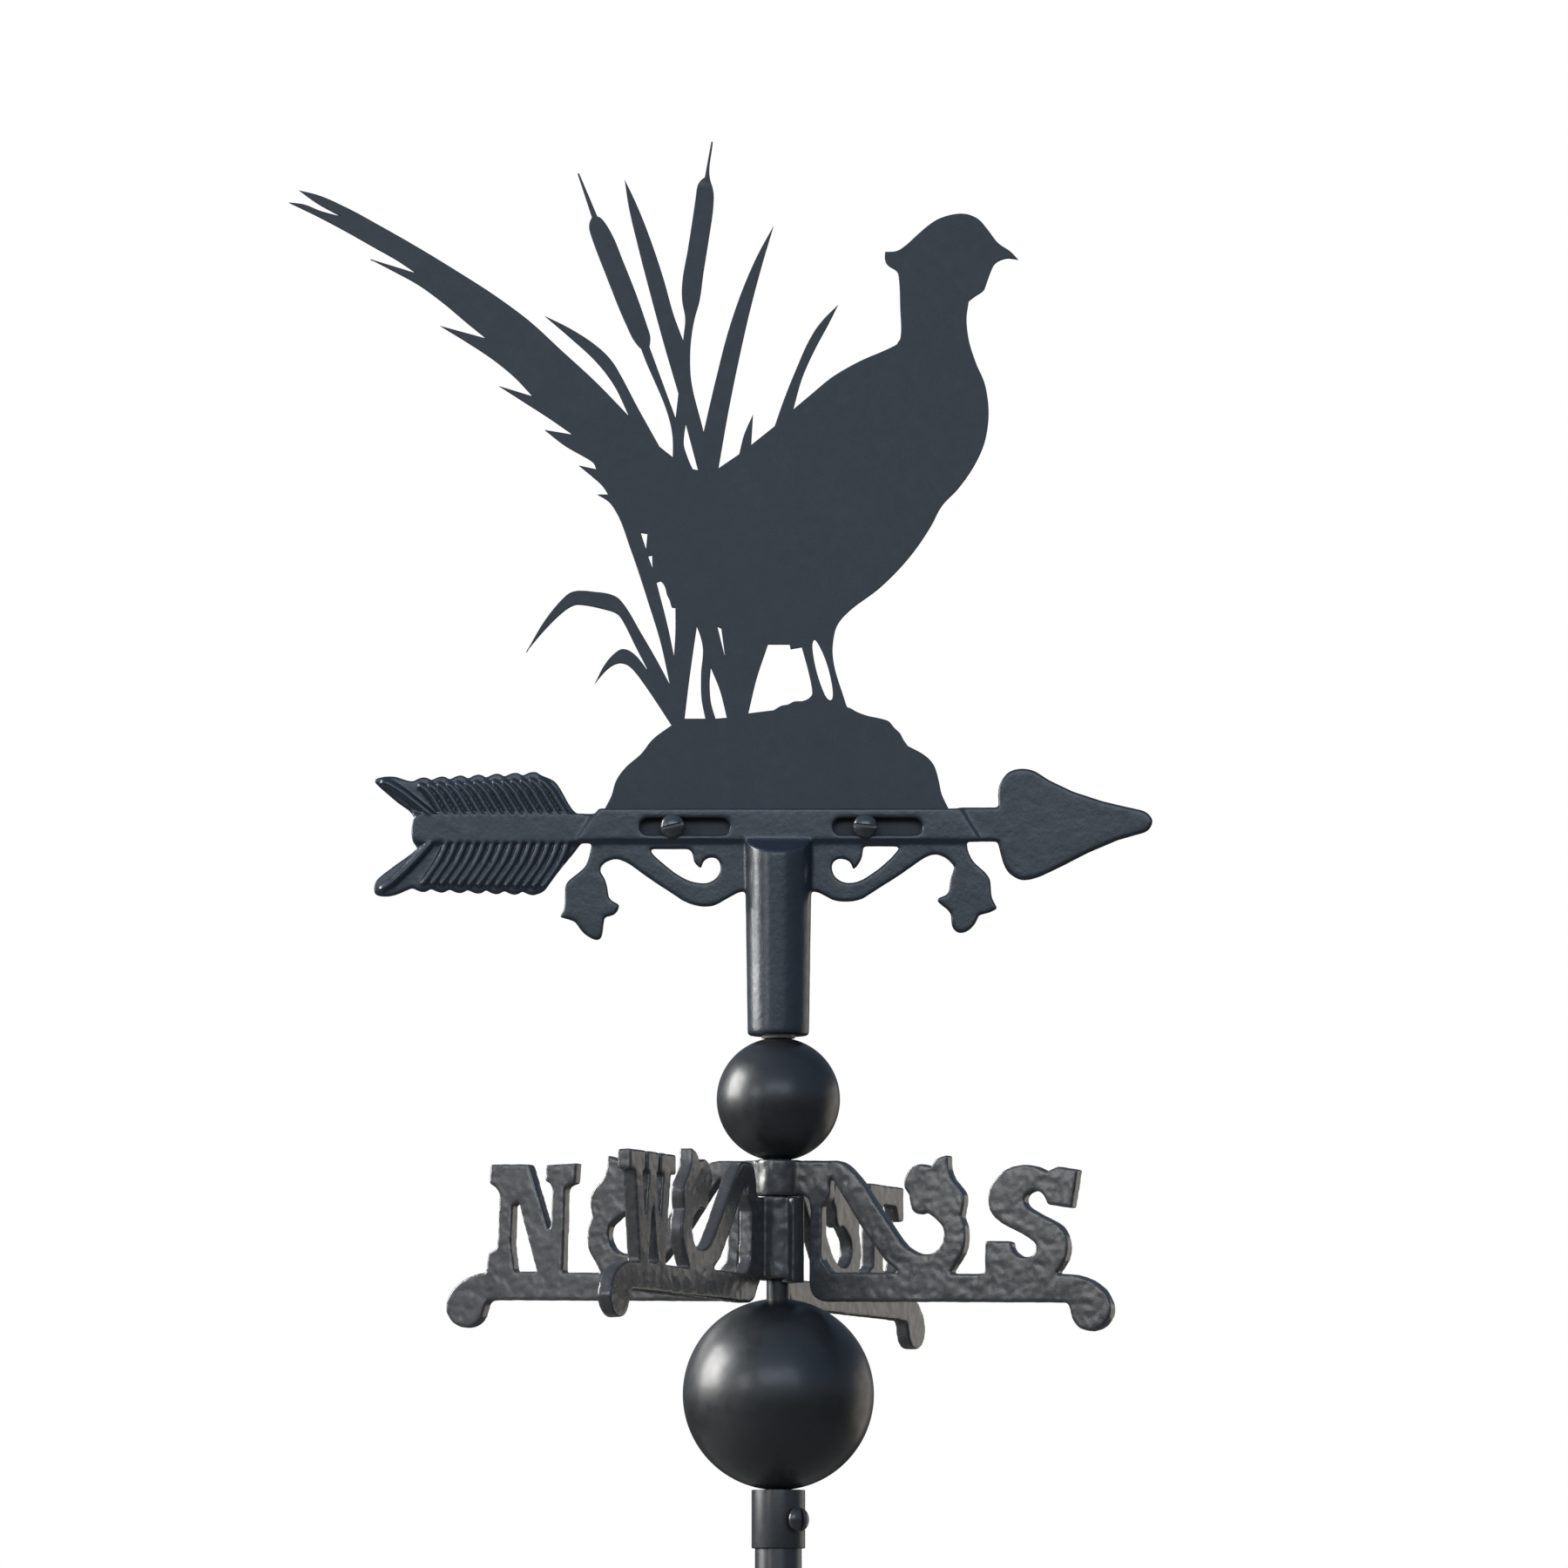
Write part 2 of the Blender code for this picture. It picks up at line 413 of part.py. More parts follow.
def combine(target, bm, operation):
    """Join or cut the target with another bmesh by an exact Boolean, and apply it."""
    tool = add_object(target.name + "_tool", bm, None)
    tool.hide_render = True
    tool.display_type = 'WIRE'
    mod = target.modifiers.new("combine", 'BOOLEAN')
    mod.operation = operation
    mod.solver = 'EXACT'
    mod.object = tool
    graph = bpy.context.evaluated_depsgraph_get()
    result = bpy.data.meshes.new_from_object(target.evaluated_get(graph))
    target.modifiers.clear()
    old = target.data
    target.data = result
    bpy.data.meshes.remove(old)
    bpy.data.objects.remove(tool, do_unlink=True)


def finish(obj, mat, z, axis_turn=0.0):
    """Set the material and place the piece: its origin goes on the vane's axis."""
    obj.data.materials.clear()
    obj.data.materials.append(mat)
    obj.data.shade_smooth()
    obj.data.set_sharp_from_angle(angle=math.radians(30))
    obj.location = (0, 0, z * MM)
    obj.rotation_euler = (0, 0, math.radians(axis_turn))
    return obj


def place(name, bm, mat, z=POLE_EXPOSED, axis_turn=0.0):
    return finish(add_object(name, bm, mat), mat, z, axis_turn)


def make_pole():
    pole = tube(POLE_OD / 2, POLE_ID / 2, FOOT_FLANGE + GAP, POLE_EXPOSED + POLE_IN_SOCKET)
    place("mounting_pole", pole, coated(), z=0)
    stem_r = POLE_ID / 2 - GAP
    foot = lathe([(0, 0), (POLE_OD / 2 - EDGE_BREAK, 0), (POLE_OD / 2, EDGE_BREAK),
                  (POLE_OD / 2, FOOT_FLANGE), (stem_r, FOOT_FLANGE), (stem_r, FOOT_STEM),
                  (0, FOOT_STEM)])
    place("pole_foot_plug", foot, plug_plastic(), z=0)


def make_socket():
    socket = add_object("pole_socket", tube(SOCKET_OD / 2, SOCKET_ID / 2, 0, SOCKET_LENGTH), None)
    hole = turn(rod(SCREW_D / 2 + GAP, 0, SOCKET_OD, sides=24), 'Y', 90)
    combine(socket, turn(shift(hole, z=CLAMP_HEIGHT), 'Z', CLAMP_ANGLE), 'DIFFERENCE')
    finish(socket, coated(), POLE_EXPOSED)
    seat_top = SOCKET_LENGTH - GAP
    seat = tube(SOCKET_ID / 2 - GAP, STUD_D / 2 + GAP, seat_top - SEAT_THICKNESS, seat_top)
    place("spindle_seat", seat, bright_steel())
    clamp = slotted_screw(POLE_OD / 2 + GAP, SOCKET_OD / 2 + CLAMP_STANDOFF)
    place("socket_clamp_screw", turn(shift(clamp, z=CLAMP_HEIGHT), 'Z', CLAMP_ANGLE), coated())


def slotted_screw(tip, head_start):
    """Domed slotted screw along +X, from its tip to its head."""
    dome = [(SCREW_HEAD_D / 2 - inward, up) for inward, up in SCREW_DOME]
    profile = [(0, tip), (SCREW_D / 2 - TIP_BREAK, tip), (SCREW_D / 2, tip + TIP_BREAK),
               (SCREW_D / 2, head_start), (SCREW_HEAD_D / 2, head_start)]
    profile += [(r, head_start + h) for r, h in dome] + [(0, head_start + SCREW_HEAD_H)]
    screw = add_object("screw_blank", lathe(profile, 24), None)
    top = head_start + SCREW_HEAD_H
    slot = box((-SLOT_CUT_WIDTH / 2, -SCREW_HEAD_D, top - SLOT_CUT_DEPTH),
               (SLOT_CUT_WIDTH / 2, SCREW_HEAD_D, top + SLOT_CUT_DEPTH))
    combine(screw, slot, 'DIFFERENCE')
    return turn(taken_back(screw), 'Y', 90)


def taken_back(obj):
    """The object's shape as a bmesh in millimetres; the object is removed."""
    bm = bmesh.new()
    bm.from_mesh(obj.data)
    bpy.data.objects.remove(obj, do_unlink=True)
    bmesh.ops.scale(bm, vec=(1 / MM, 1 / MM, 1 / MM), verts=bm.verts[:])
    return bm


def make_spindle():
    shoulder = SOCKET_LENGTH
    stud_end = shoulder - GAP - SEAT_THICKNESS - STUD_BELOW_SEAT
    r, stud = SPINDLE_D / 2, STUD_D / 2
    spindle = lathe([(0, stud_end), (stud - EDGE_BREAK, stud_end), (stud, stud_end + EDGE_BREAK),
                     (stud, shoulder), (r, shoulder), (r, SPINDLE_TOP - EDGE_BREAK),
                     (r - EDGE_BREAK, SPINDLE_TOP), (0, SPINDLE_TOP)], 32)
    place("spindle_rod", spindle, coated())
    nut_top = shoulder - 2 * GAP - SEAT_THICKNESS
    place("spindle_lock_nut", hex_nut(LOCK_NUT_AF, STUD_D / 2 + GAP, nut_top - LOCK_NUT_T,
                                      nut_top), bright_steel())


def hex_nut(across_flats, bore_r, low, high):
    """Hexagonal ring: an outer hexagon and a round bore of the same number of sides."""
    bm = bmesh.new()
    sides = 24
    rings = []
    for z in (low, high):
        for hexagon in (True, False):
            ring = []
            for i in range(sides):
                a = 2 * math.pi * i / sides
                off = (a + math.pi / 6) % (math.pi / 3) - math.pi / 6
                r = across_flats / 2 / math.cos(off) if hexagon else bore_r
                ring.append(bm.verts.new((r * math.cos(a), r * math.sin(a), z)))
            rings.append(ring)
    outer_low, inner_low, outer_high, inner_high = rings
    for a, b in ((outer_low, outer_high), (outer_high, inner_high), (inner_high, inner_low),
                 (inner_low, outer_low)):
        for i in range(sides):
            j = (i + 1) % sides
            bm.faces.new((a[i], a[j], b[j], b[i]))
    bmesh.ops.recalc_face_normals(bm, faces=bm.faces[:])
    return bm


def hollow_ball(radius, rings, sides):
    """Thin spherical shell with a spindle hole at the top and the bottom."""
    hole = BORE / 2
    profile = []
    for r, way in ((radius, 1), (radius - BALL_WALL, -1)):
        start = math.acos(hole / r)
        arc = [start * (1 - 2 * i / rings) * way for i in range(rings + 1)]
        profile += [(r * math.cos(a), r * math.sin(a)) for a in arc]
    return lathe(profile, sides)


def make_balls():
    place("big_ball", hollow_ball(BIG_BALL_R, 16, 36), coated(), POLE_EXPOSED + BIG_BALL_Z)
    place("small_ball", hollow_ball(SMALL_BALL_R, 14, 28), coated(),
          POLE_EXPOSED + SMALL_BALL_Z)


def letter_in_arm(letter, mirrored):
    """Letter strokes from the axis outwards; on a mirrored arm they run the other way."""
    start, width = letter["start"], letter["width"]
    if not mirrored:
        return [[(start + x, w) for x, w in s] for s in letter["strokes"]]
    flat = [[(start + width - x, w) for x, w in s] for s in letter["strokes"]]
    return reverse_strokes(flat)


def reverse_strokes(strokes):
    """Same outline walked backwards."""
    nodes = [strokes[0][0]] + [s[-1] for s in strokes[1:]]
    out = [[nodes[-1]]]
    for i in range(len(strokes) - 1, 0, -1):
        out.append(list(reversed(strokes[i][:-1])) + [nodes[i - 1]])
    return out


def arm_loop(letter, mirrored, hub):
    """One arm's outline from the hub's top, round the arm, to the hub's underside."""
    low, high = hub
    if high == CREST:         # upper hub: the arm hangs down past the lower hub
        top = [[(0, high)], [(34.5, CREST)]]
        under = [[(29.5, 0)], [(24.5, 1.8), (21.6, 6), (ARM_INNER, 12)], [(ARM_INNER, low - 8)],
                 [(19.5, low - 2.5), (16, low)], [(0, low)]]
    else:                     # lower hub: the arm rises past the upper hub
        top = [[(0, high)], [(17.5, high)], [(19.8, high + 1), (ARM_INNER, high + 4)],
               [(22, 69), (26.5, 74), (34.5, CREST)]]
        under = [[(29.5, 0)], [(25, 1.2), (21.5, 4.5), (19, 8.5), (15, low)], [(0, low)]]
    strokes = (top + ARM_CREST + ARM_BELLFLOWER + letter_in_arm(letter, mirrored) + ARM_KNOB
               + under)
    points = loop_points(strokes)
    return [Vector((-p.x, p.y)) for p in reversed(points)] if mirrored else points


def hole_loop(strokes, mirrored=False, start=None):
    points = loop_points(strokes)
    if start is not None:
        points = [Vector((p.x + start, p.y)) for p in points]
    return [Vector((-p.x, p.y)) for p in points] if mirrored else points


def make_casting(name, right, left, hub, axis_turn, lean, grub_angle, offset=0.0, drop=0.0,
                 lug=False):
    loops = [arm_loop(right, False, hub) + arm_loop(left, True, hub)]
    loops[0] = [p for p, q in zip(loops[0], loops[0][1:] + loops[0][:1]) if (p - q).length > 0.02]
    loops += [hole_loop(ARM_WINDOW), hole_loop(ARM_WINDOW, mirrored=True)]
    if right["hole"]:
        loops.append(hole_loop(right["hole"], start=right["start"]))
    if left["hole"]:
        loops.append(hole_loop(left["hole"], start=-left["start"] - left["width"]))
    half = CAST_THICKNESS / 2
    casting = add_object(name + "_casting", slab(loops, offset - half, offset + half), None)
    low, high = hub
    combine(casting, tube(HUB_R, SPINDLE_D / 4, low - HUB_LIP, high + HUB_LIP), 'UNION')
    if lug:
        block = box((SPINDLE_D / 2, -LUG_WIDTH / 2, low - LUG_DROP),
                    (LUG_REACH, LUG_WIDTH / 2, high))
        combine(casting, turn(block, 'Z', LUG_ANGLE), 'UNION')
    combine(casting, rod(BORE / 2, low - OVERCUT, high + OVERCUT, sides=32), 'DIFFERENCE')
    grub_z = (low + high) / 2
    grub_hole = turn(rod(GRUB_D / 2 + GAP, GRUB_HOLE_START, HUB_R + OVERCUT, sides=20), 'Y', 90)
    combine(casting, turn(shift(grub_hole, z=grub_z), 'Z', grub_angle), 'DIFFERENCE')
    start = SPINDLE_D / 2 + GRUB_CLEAR
    grub = turn(rod(GRUB_D / 2, start, start + GRUB_LENGTH, TIP_BREAK, 20), 'Y', 90)
    grub = add_object(name + "_grub_screw", turn(shift(grub, z=grub_z), 'Z', grub_angle), None)
    for piece, mat in ((casting, rough_casting()), (grub, bright_steel())):
        tip = Matrix.Translation((0, 0, grub_z * MM)) @ Matrix.Rotation(math.radians(lean), 4, 'Y')
        piece.data.transform(tip @ Matrix.Translation((0, 0, -grub_z * MM)))
        finish(piece, mat, POLE_EXPOSED + COMPASS_BAR_BOTTOM - drop, axis_turn)


def make_compass():
    make_casting("north_south", LETTER_S, LETTER_N, NS_HUB, NS_TURN, NS_LEAN, NS_GRUB)
    make_casting("west_east", LETTER_E, LETTER_W, WE_HUB, WE_TURN, WE_LEAN, WE_GRUB, WE_OFFSET,
                 WE_DROP, lug=True)


def feather_edge(ends):
    """Scalloped outer edge of one row of feathers, from right to left."""
    (left_z, right_z) = ends
    step = (FEATHER_LEFT - FEATHER_RIGHT) / FEATHERS
    sign = 1 if left_z > 0 else -1
    points = []
    for i in range(FEATHERS):
        for part in (0.18, 0.42, 0.68, 0.88, 1.0):
            t = (i + part) / FEATHERS
            bulge = FEATHER_BULGE * math.sin(math.pi * part ** 0.8) * sign
            points.append([(FEATHER_RIGHT + step * (i + part),
                            right_z + (left_z - right_z) * t + bulge)])
    return points


def tail_outline():
    upper = [[(VANE_ROOT + 11, SHAFT_TOP)], [(VANE_ROOT - 0.5, SHAFT_TOP)],
             [(-110, 8), (-113, 12.5), (-116.5, 19), (-120.5, 24), (-127.5, 27)]]
    tip_up = [[(-200, 24.3), (-204.5, 26), (-210, 26.3), (-215.5, 25.2), (-216.5, 22.8),
               (-209.5, 16.3), (-204, 11.7), (-198, 7.5), (-194.5, 3)]]
    end = [[(-196.3, 0), (-196.8, -4), (-196, -9), (-193.5, -12.5)]]
    tip_low = [[(-198, -16.2), (-207, -22.7), (-215.2, -29.3), (-217, -34), (-215.5, -37.8),
                (-210, -38.7), (-204, -37.5), (-196, -34)]]
    lower = [[(-125, -35.3), (-121, -29.5), (-115.5, -22.5), (-109.5, -15.2), (-105.5, SHAFT_LOW)],
             [(VANE_ROOT + 11, SHAFT_LOW)], [(VANE_ROOT + 11, SHAFT_TOP)]]
    return (upper + feather_edge(FEATHER_TOP) + tip_up + end + tip_low
            + list(reversed(feather_edge(FEATHER_LOW))) + lower)


def round_slot(x_low, x_high, z, height, steps=8):
    """Outline of a slot with round ends."""
    r = height / 2
    points = []
    for centre, first in ((x_high - r, -90), (x_low + r, 90)):
        for i in range(steps + 1):
            a = math.radians(first + 180 * i / steps)
            points.append(Vector((centre + r * math.cos(a), z + r * math.sin(a))))
    return points


def make_arrow():
    half, shaft, scroll = BAR_THICKNESS / 2, SHAFT_THICKNESS / 2, SCROLL_THICKNESS / 2
    bar = [Vector(p) for p in ((-96.3, BAR_HALF), (-109.3, -BAR_HALF), (108.5, -BAR_HALF),
                               (97.6, BAR_HALF))]
    slots = [round_slot(a, b, SLOT_Z, SLOT_HEIGHT) for a, b in SLOTS]
    arrow = add_object("arrow_casting", slab([bar] + slots, -half, half), None)
    combine(arrow, slab([loop_points(tail_outline())], -shaft, shaft), 'UNION')
    combine(arrow, slab([loop_points(ARROW_HEAD)], -shaft, shaft), 'UNION')
    for outline, window in ((SCROLL_LEFT, SCROLL_LEFT_WINDOW), (SCROLL_RIGHT,
                                                               SCROLL_RIGHT_WINDOW)):
        combine(arrow, slab([loop_points(outline), loop_points(window)], -scroll, scroll),
                'UNION')
    low = SLEEVE_BOTTOM - BAR_CENTRE
    shoulder = SLEEVE_SHOULDER - BAR_CENTRE
    top = -BAR_HALF + SLEEVE_JOIN
    sleeve = lathe([(0, low), (SLEEVE_R_BOTTOM - SLEEVE_BREAK, low),
                    (SLEEVE_R_BOTTOM, low + SLEEVE_BREAK), (SLEEVE_R_TOP, shoulder),
                    (SLEEVE_R_TOP, top), (0, top)])
    sleeve = add_object("sleeve", sleeve, None)
    slope = math.degrees(math.atan2(top - shoulder, SLEEVE_R_TOP - half))
    for side in (-1, 1):
        wedge = box((-SLEEVE_R_TOP * 2, 0, 0), (SLEEVE_R_TOP * 2, SLEEVE_R_TOP * 2, SLEEVE_R_TOP))
        wedge = shift(turn(wedge, 'X', -slope), y=half + WEDGE_CLEAR, z=top - 2 * WEDGE_CLEAR)
        combine(sleeve, turn(wedge, 'Z', 0 if side > 0 else 180), 'DIFFERENCE')
    combine(arrow, taken_back(sleeve), 'UNION')
    bore_top = BORE_TOP - BAR_CENTRE
    combine(arrow, rod(BEARING_BORE / 2, low - OVERCUT, bore_top, sides=32), 'DIFFERENCE')
    finish(arrow, rough_casting(), POLE_EXPOSED + BAR_CENTRE)


def make_bearings():
    inner = BORE / 2
    lower = SMALL_BALL_Z + SMALL_BALL_R - BUSH_SEAT
    for name, low, high in (("lower_bearing_bush", lower, LOWER_BUSH_TOP),
                            ("upper_bearing_bush", *UPPER_BUSH)):
        place(name, tube(BEARING_OD / 2, inner, low, high, 32), pale_plastic())
    ball = bmesh.new()
    bmesh.ops.create_uvsphere(ball, u_segments=16, v_segments=10, radius=PIVOT_BALL_R)
    place("pivot_ball", ball, bright_steel(), POLE_EXPOSED + BORE_TOP - GAP - PIVOT_BALL_R)


def make_motif():
    loops = [loop_points(MOTIF_OUTLINE)] + [loop_points(w) for w in MOTIF_WINDOWS]
    loops = [[Vector((p.x * MOTIF_WIDE, p.y * MOTIF_TALL)) for p in loop] for loop in loops]
    for x in SCREW_X:
        ring = SCREW_D / 2 + GAP
        loops.append([Vector((x + ring * math.cos(math.pi * i / 8),
                              SLOT_Z + ring * math.sin(math.pi * i / 8))) for i in range(16)])
    plate = slab(loops, MOTIF_FRONT, MOTIF_FRONT + MOTIF_THICKNESS)
    place("pheasant_plate", plate, slate(), POLE_EXPOSED + BAR_CENTRE)


def make_motif_fixings():
    front = -BAR_THICKNESS / 2 - GAP
    washer_at = MOTIF_FRONT + MOTIF_THICKNESS + GAP
    nut_at = washer_at + WASHER_T + GAP
    hole = SCREW_D / 2 + GAP
    for side, x in zip(("left", "right"), SCREW_X):
        screw = turn(slotted_screw(-SCREW_END, -front), 'Z', -90)
        washer = turn(tube(WASHER_D / 2, hole, washer_at, washer_at + WASHER_T, 24), 'X', -90)
        nut = turn(hex_nut(NUT_AF, hole, nut_at, nut_at + NUT_T), 'X', -90)
        for name, bm, mat in (("motif_screw_", screw, coated()), ("motif_washer_", washer,
                                                                  bright_steel()),
                              ("motif_nut_", nut, bright_steel())):
            place(name + side, shift(bm, x=x, z=SLOT_Z), mat, POLE_EXPOSED + BAR_CENTRE)


clear_scene()
make_pole()
make_socket()
make_spindle()
make_balls()
make_compass()
make_arrow()
make_bearings()
make_motif()
make_motif_fixings()
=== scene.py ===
"""Garden weather vane with a pheasant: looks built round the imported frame.

Metres, +Z up. The pole stands on the origin, the arrow points along +X and its front faces -Y.
"""
import math

import bmesh
import bpy
from mathutils import Matrix, Vector, noise


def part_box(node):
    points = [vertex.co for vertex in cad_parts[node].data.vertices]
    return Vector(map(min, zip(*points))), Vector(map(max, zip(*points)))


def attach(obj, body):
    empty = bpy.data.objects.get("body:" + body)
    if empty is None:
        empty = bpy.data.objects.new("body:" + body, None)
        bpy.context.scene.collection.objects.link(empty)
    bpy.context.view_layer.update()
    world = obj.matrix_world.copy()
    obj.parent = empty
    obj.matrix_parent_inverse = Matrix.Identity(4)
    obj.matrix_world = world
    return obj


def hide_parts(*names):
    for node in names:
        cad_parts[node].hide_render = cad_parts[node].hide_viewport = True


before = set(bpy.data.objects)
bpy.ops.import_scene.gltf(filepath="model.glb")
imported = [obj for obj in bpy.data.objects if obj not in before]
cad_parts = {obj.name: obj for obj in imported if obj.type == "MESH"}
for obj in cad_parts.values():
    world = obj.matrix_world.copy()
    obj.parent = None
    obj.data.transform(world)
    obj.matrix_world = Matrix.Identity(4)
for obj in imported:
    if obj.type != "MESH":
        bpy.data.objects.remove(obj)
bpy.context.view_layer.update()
MM = 0.001


# ---------------------------------------------------------------------------
# Stage. A pale floor, an even pale sky, a window-like light with a small fill on the left, a
# broad light in front, a weak warm one on the right, and one behind that throws no glints. The
# camera stands five metres in front of the vane.
# ---------------------------------------------------------------------------
CAMERA_PLACE = (0.0, -5.05, 0.20034)
CAMERA_PITCH = 5.75           # degrees above level
LENS_MM, SENSOR_MM = 217.2, 36.0
SHIFT_X = 0.0036
CLIP_NEAR, CLIP_FAR = 0.1, 60.0

camera = bpy.data.objects.new("camera", bpy.data.cameras.new("camera"))
camera.location = CAMERA_PLACE
camera.rotation_euler = (math.radians(90 + CAMERA_PITCH), 0, 0)
camera.data.lens = LENS_MM
camera.data.sensor_width = SENSOR_MM
camera.data.shift_x = SHIFT_X
camera.data.clip_start, camera.data.clip_end = CLIP_NEAR, CLIP_FAR
bpy.context.scene.collection.objects.link(camera)
bpy.context.scene.camera = camera
bpy.context.scene.view_settings.view_transform = 'Standard'


AIM = (0.0, 0.0, 0.65)
DAYLIGHT, SKYLIGHT, WARM = (1.0, 0.985, 0.955), (0.82, 0.91, 1.0), (1.0, 0.92, 0.82)
LIGHTS = (                    # name, place, size, watts, tint, whether it throws glints
    ("window_left", (-2.6, 0.12, 1.5), (1.6, 1.6), 140.0, DAYLIGHT, True),
    ("window_fill", (-2.4, -2.6, 1.2), (0.9, 0.9), 12.0, DAYLIGHT, True),
    ("sky_front", (0.0, -5.2, 2.3), (4.6, 1.7), 74.0, SKYLIGHT, True),
    ("wall_right", (2.1, 1.6, 0.35), (2.0, 1.6), 9.0, WARM, True),
    ("sky_back", (0.0, 5.2, 2.3), (4.6, 1.7), 150.0, SKYLIGHT, False))


def soft_light(name, place, size, power, tint, shines):
    """A rectangular area light that faces the vane."""
    lamp = bpy.data.lights.new(name, 'AREA')
    lamp.shape = 'RECTANGLE'
    lamp.size, lamp.size_y = size
    lamp.energy = power
    lamp.color = tint
    holder = bpy.data.objects.new(name, lamp)
    holder.location = place
    holder.rotation_euler = (Vector(AIM) - Vector(place)).to_track_quat('-Z', 'Y').to_euler()
    holder.visible_glossy = shines
    bpy.context.scene.collection.objects.link(holder)


for light in LIGHTS:
    soft_light(*light)


SKY_BANDS = (                 # from straight down to straight up
    (0.0, (0.14, 0.13, 0.12, 1)), (0.44, (0.08, 0.08, 0.07, 1)), (0.50, (0.18, 0.17, 0.155, 1)),
    (0.54, (0.38, 0.44, 0.52, 1)), (0.75, (0.26, 0.37, 0.53, 1)), (1.0, (0.42, 0.51, 0.64, 1)))
BEHIND = 0.4                  # how bright the sky behind the vane is, against the front
BEHIND_FROM, BEHIND_TO = -0.6, 0.4   # where between front and back it darkens
FLOOR_HALF, FLOOR_CELLS, FLOOR_ROUGH = 0.8, 8, 0.8
FLOOR_PALE, FLOOR_BOUNCE = (0.66, 0.66, 0.65, 1), (0.16, 0.155, 0.145, 1)


def pale_sky():
    """White to the eye; to the object, a cool sky above and a darker ground below."""
    world = bpy.data.worlds.new("pale_sky")
    world.use_nodes = True
    nodes, links = world.node_tree.nodes, world.node_tree.links
    place, eye = nodes.new("ShaderNodeTexCoord"), nodes.new("ShaderNodeLightPath")
    split, ramp = nodes.new("ShaderNodeSeparateXYZ"), nodes.new("ShaderNodeValToRGB")
    height, depth = nodes.new("ShaderNodeMapRange"), nodes.new("ShaderNodeMapRange")
    height.inputs["From Min"].default_value = -1.0
    depth.inputs["From Min"].default_value = BEHIND_FROM
    depth.inputs["From Max"].default_value = BEHIND_TO
    depth.inputs["To Min"].default_value = 1.0
    depth.inputs["To Max"].default_value = BEHIND
    bands = ramp.color_ramp.elements
    for band, (at, colour) in zip((bands[0], bands[1]), (SKY_BANDS[0], SKY_BANDS[-1])):
        band.position, band.color = at, colour
    for at, colour in SKY_BANDS[1:-1]:
        bands.new(at).color = colour
    shade, white = nodes["Background"], nodes.new("ShaderNodeBackground")
    white.inputs["Color"].default_value = (1, 1, 1, 1)
    both = nodes.new("ShaderNodeMixShader")
    for source, sink in ((place.outputs["Generated"], split.inputs[0]),
                         (split.outputs["Y"], depth.inputs["Value"]),
                         (split.outputs["Z"], height.inputs["Value"]),
                         (height.outputs["Result"], ramp.inputs["Fac"]),
                         (depth.outputs["Result"], shade.inputs["Strength"]),
                         (ramp.outputs["Color"], shade.inputs["Color"]),
                         (eye.outputs["Is Camera Ray"], both.inputs["Fac"]),
                         (shade.outputs[0], both.inputs[1]),
                         (white.outputs[0], both.inputs[2]),
                         (both.outputs[0], nodes["World Output"].inputs["Surface"])):
        links.new(source, sink)
    bpy.context.scene.world = world


def pale_floor():
    """Pale to the eye, darker to the object, so that the balls' undersides stay dark."""
    bm = bmesh.new()
    bmesh.ops.create_grid(bm, x_segments=FLOOR_CELLS, y_segments=FLOOR_CELLS, size=FLOOR_HALF)
    mesh = bpy.data.meshes.new("floor")
    bm.to_mesh(mesh)
    bm.free()
    floor = bpy.data.objects.new("floor", mesh)
    bpy.context.scene.collection.objects.link(floor)
    mat = bpy.data.materials.new("pale_floor")
    mat.use_nodes = True
    nodes, links = mat.node_tree.nodes, mat.node_tree.links
    shader = nodes["Principled BSDF"]
    shader.inputs["Roughness"].default_value = FLOOR_ROUGH
    eye, tone = nodes.new("ShaderNodeLightPath"), nodes.new("ShaderNodeMix")
    tone.data_type = 'RGBA'
    tone.inputs[6].default_value, tone.inputs[7].default_value = FLOOR_BOUNCE, FLOOR_PALE
    links.new(eye.outputs["Is Camera Ray"], tone.inputs["Factor"])
    links.new(tone.outputs[2], shader.inputs["Base Color"])
    floor.data.materials.append(mat)


pale_sky()
pale_floor()


# ---------------------------------------------------------------------------
# Mounting pole and its foot plug. The pole is 25 mm steel tube, cut square, deburred and powder
# coated satin black; a moulded nylon plug is pushed into its lower end.
# ---------------------------------------------------------------------------
POLE_R, POLE_BORE_R = 12.5, 10.5
POLE_LOW, POLE_TOP = 3.3, 320.0
POLE_COLOUR = (0.020, 0.022, 0.025)
CLOUD_MM, FLECK_MM, RUB_MM, SHEEN_MM = 38.0, 0.9, 6.0, 7.0   # sizes of a coat's patterns
TOP_GLOSS = 0.22              # roughness of the clear skin over a coat
GRAIN_SHARE = 0.22            # size of a coat's grain, as a share of its orange peel's
FLECK_LIFT, RUBBED_LIFT = (1.9, 0.004), (3.0, 0.03)   # times the colour, plus a little grey
FLECKED, RUBBED = (0.0, 0.35, 0.55, 0.75), (0.0, 0.45, 0.53, 0.62)   # from none to most, and where
PATCHY = (0.0, 1.0, 0.42, 0.62)
MERGE_MM = 0.001              # points closer than this become one
FLOW_SCALE, FLOW_BEND, GRIT_SCALE = 120.0, 1.2, 2600.0   # nylon's flow marks and grain
NYLON_GLOSS, GRIT_DEEP_MM = (0.42, 0.6), 0.02


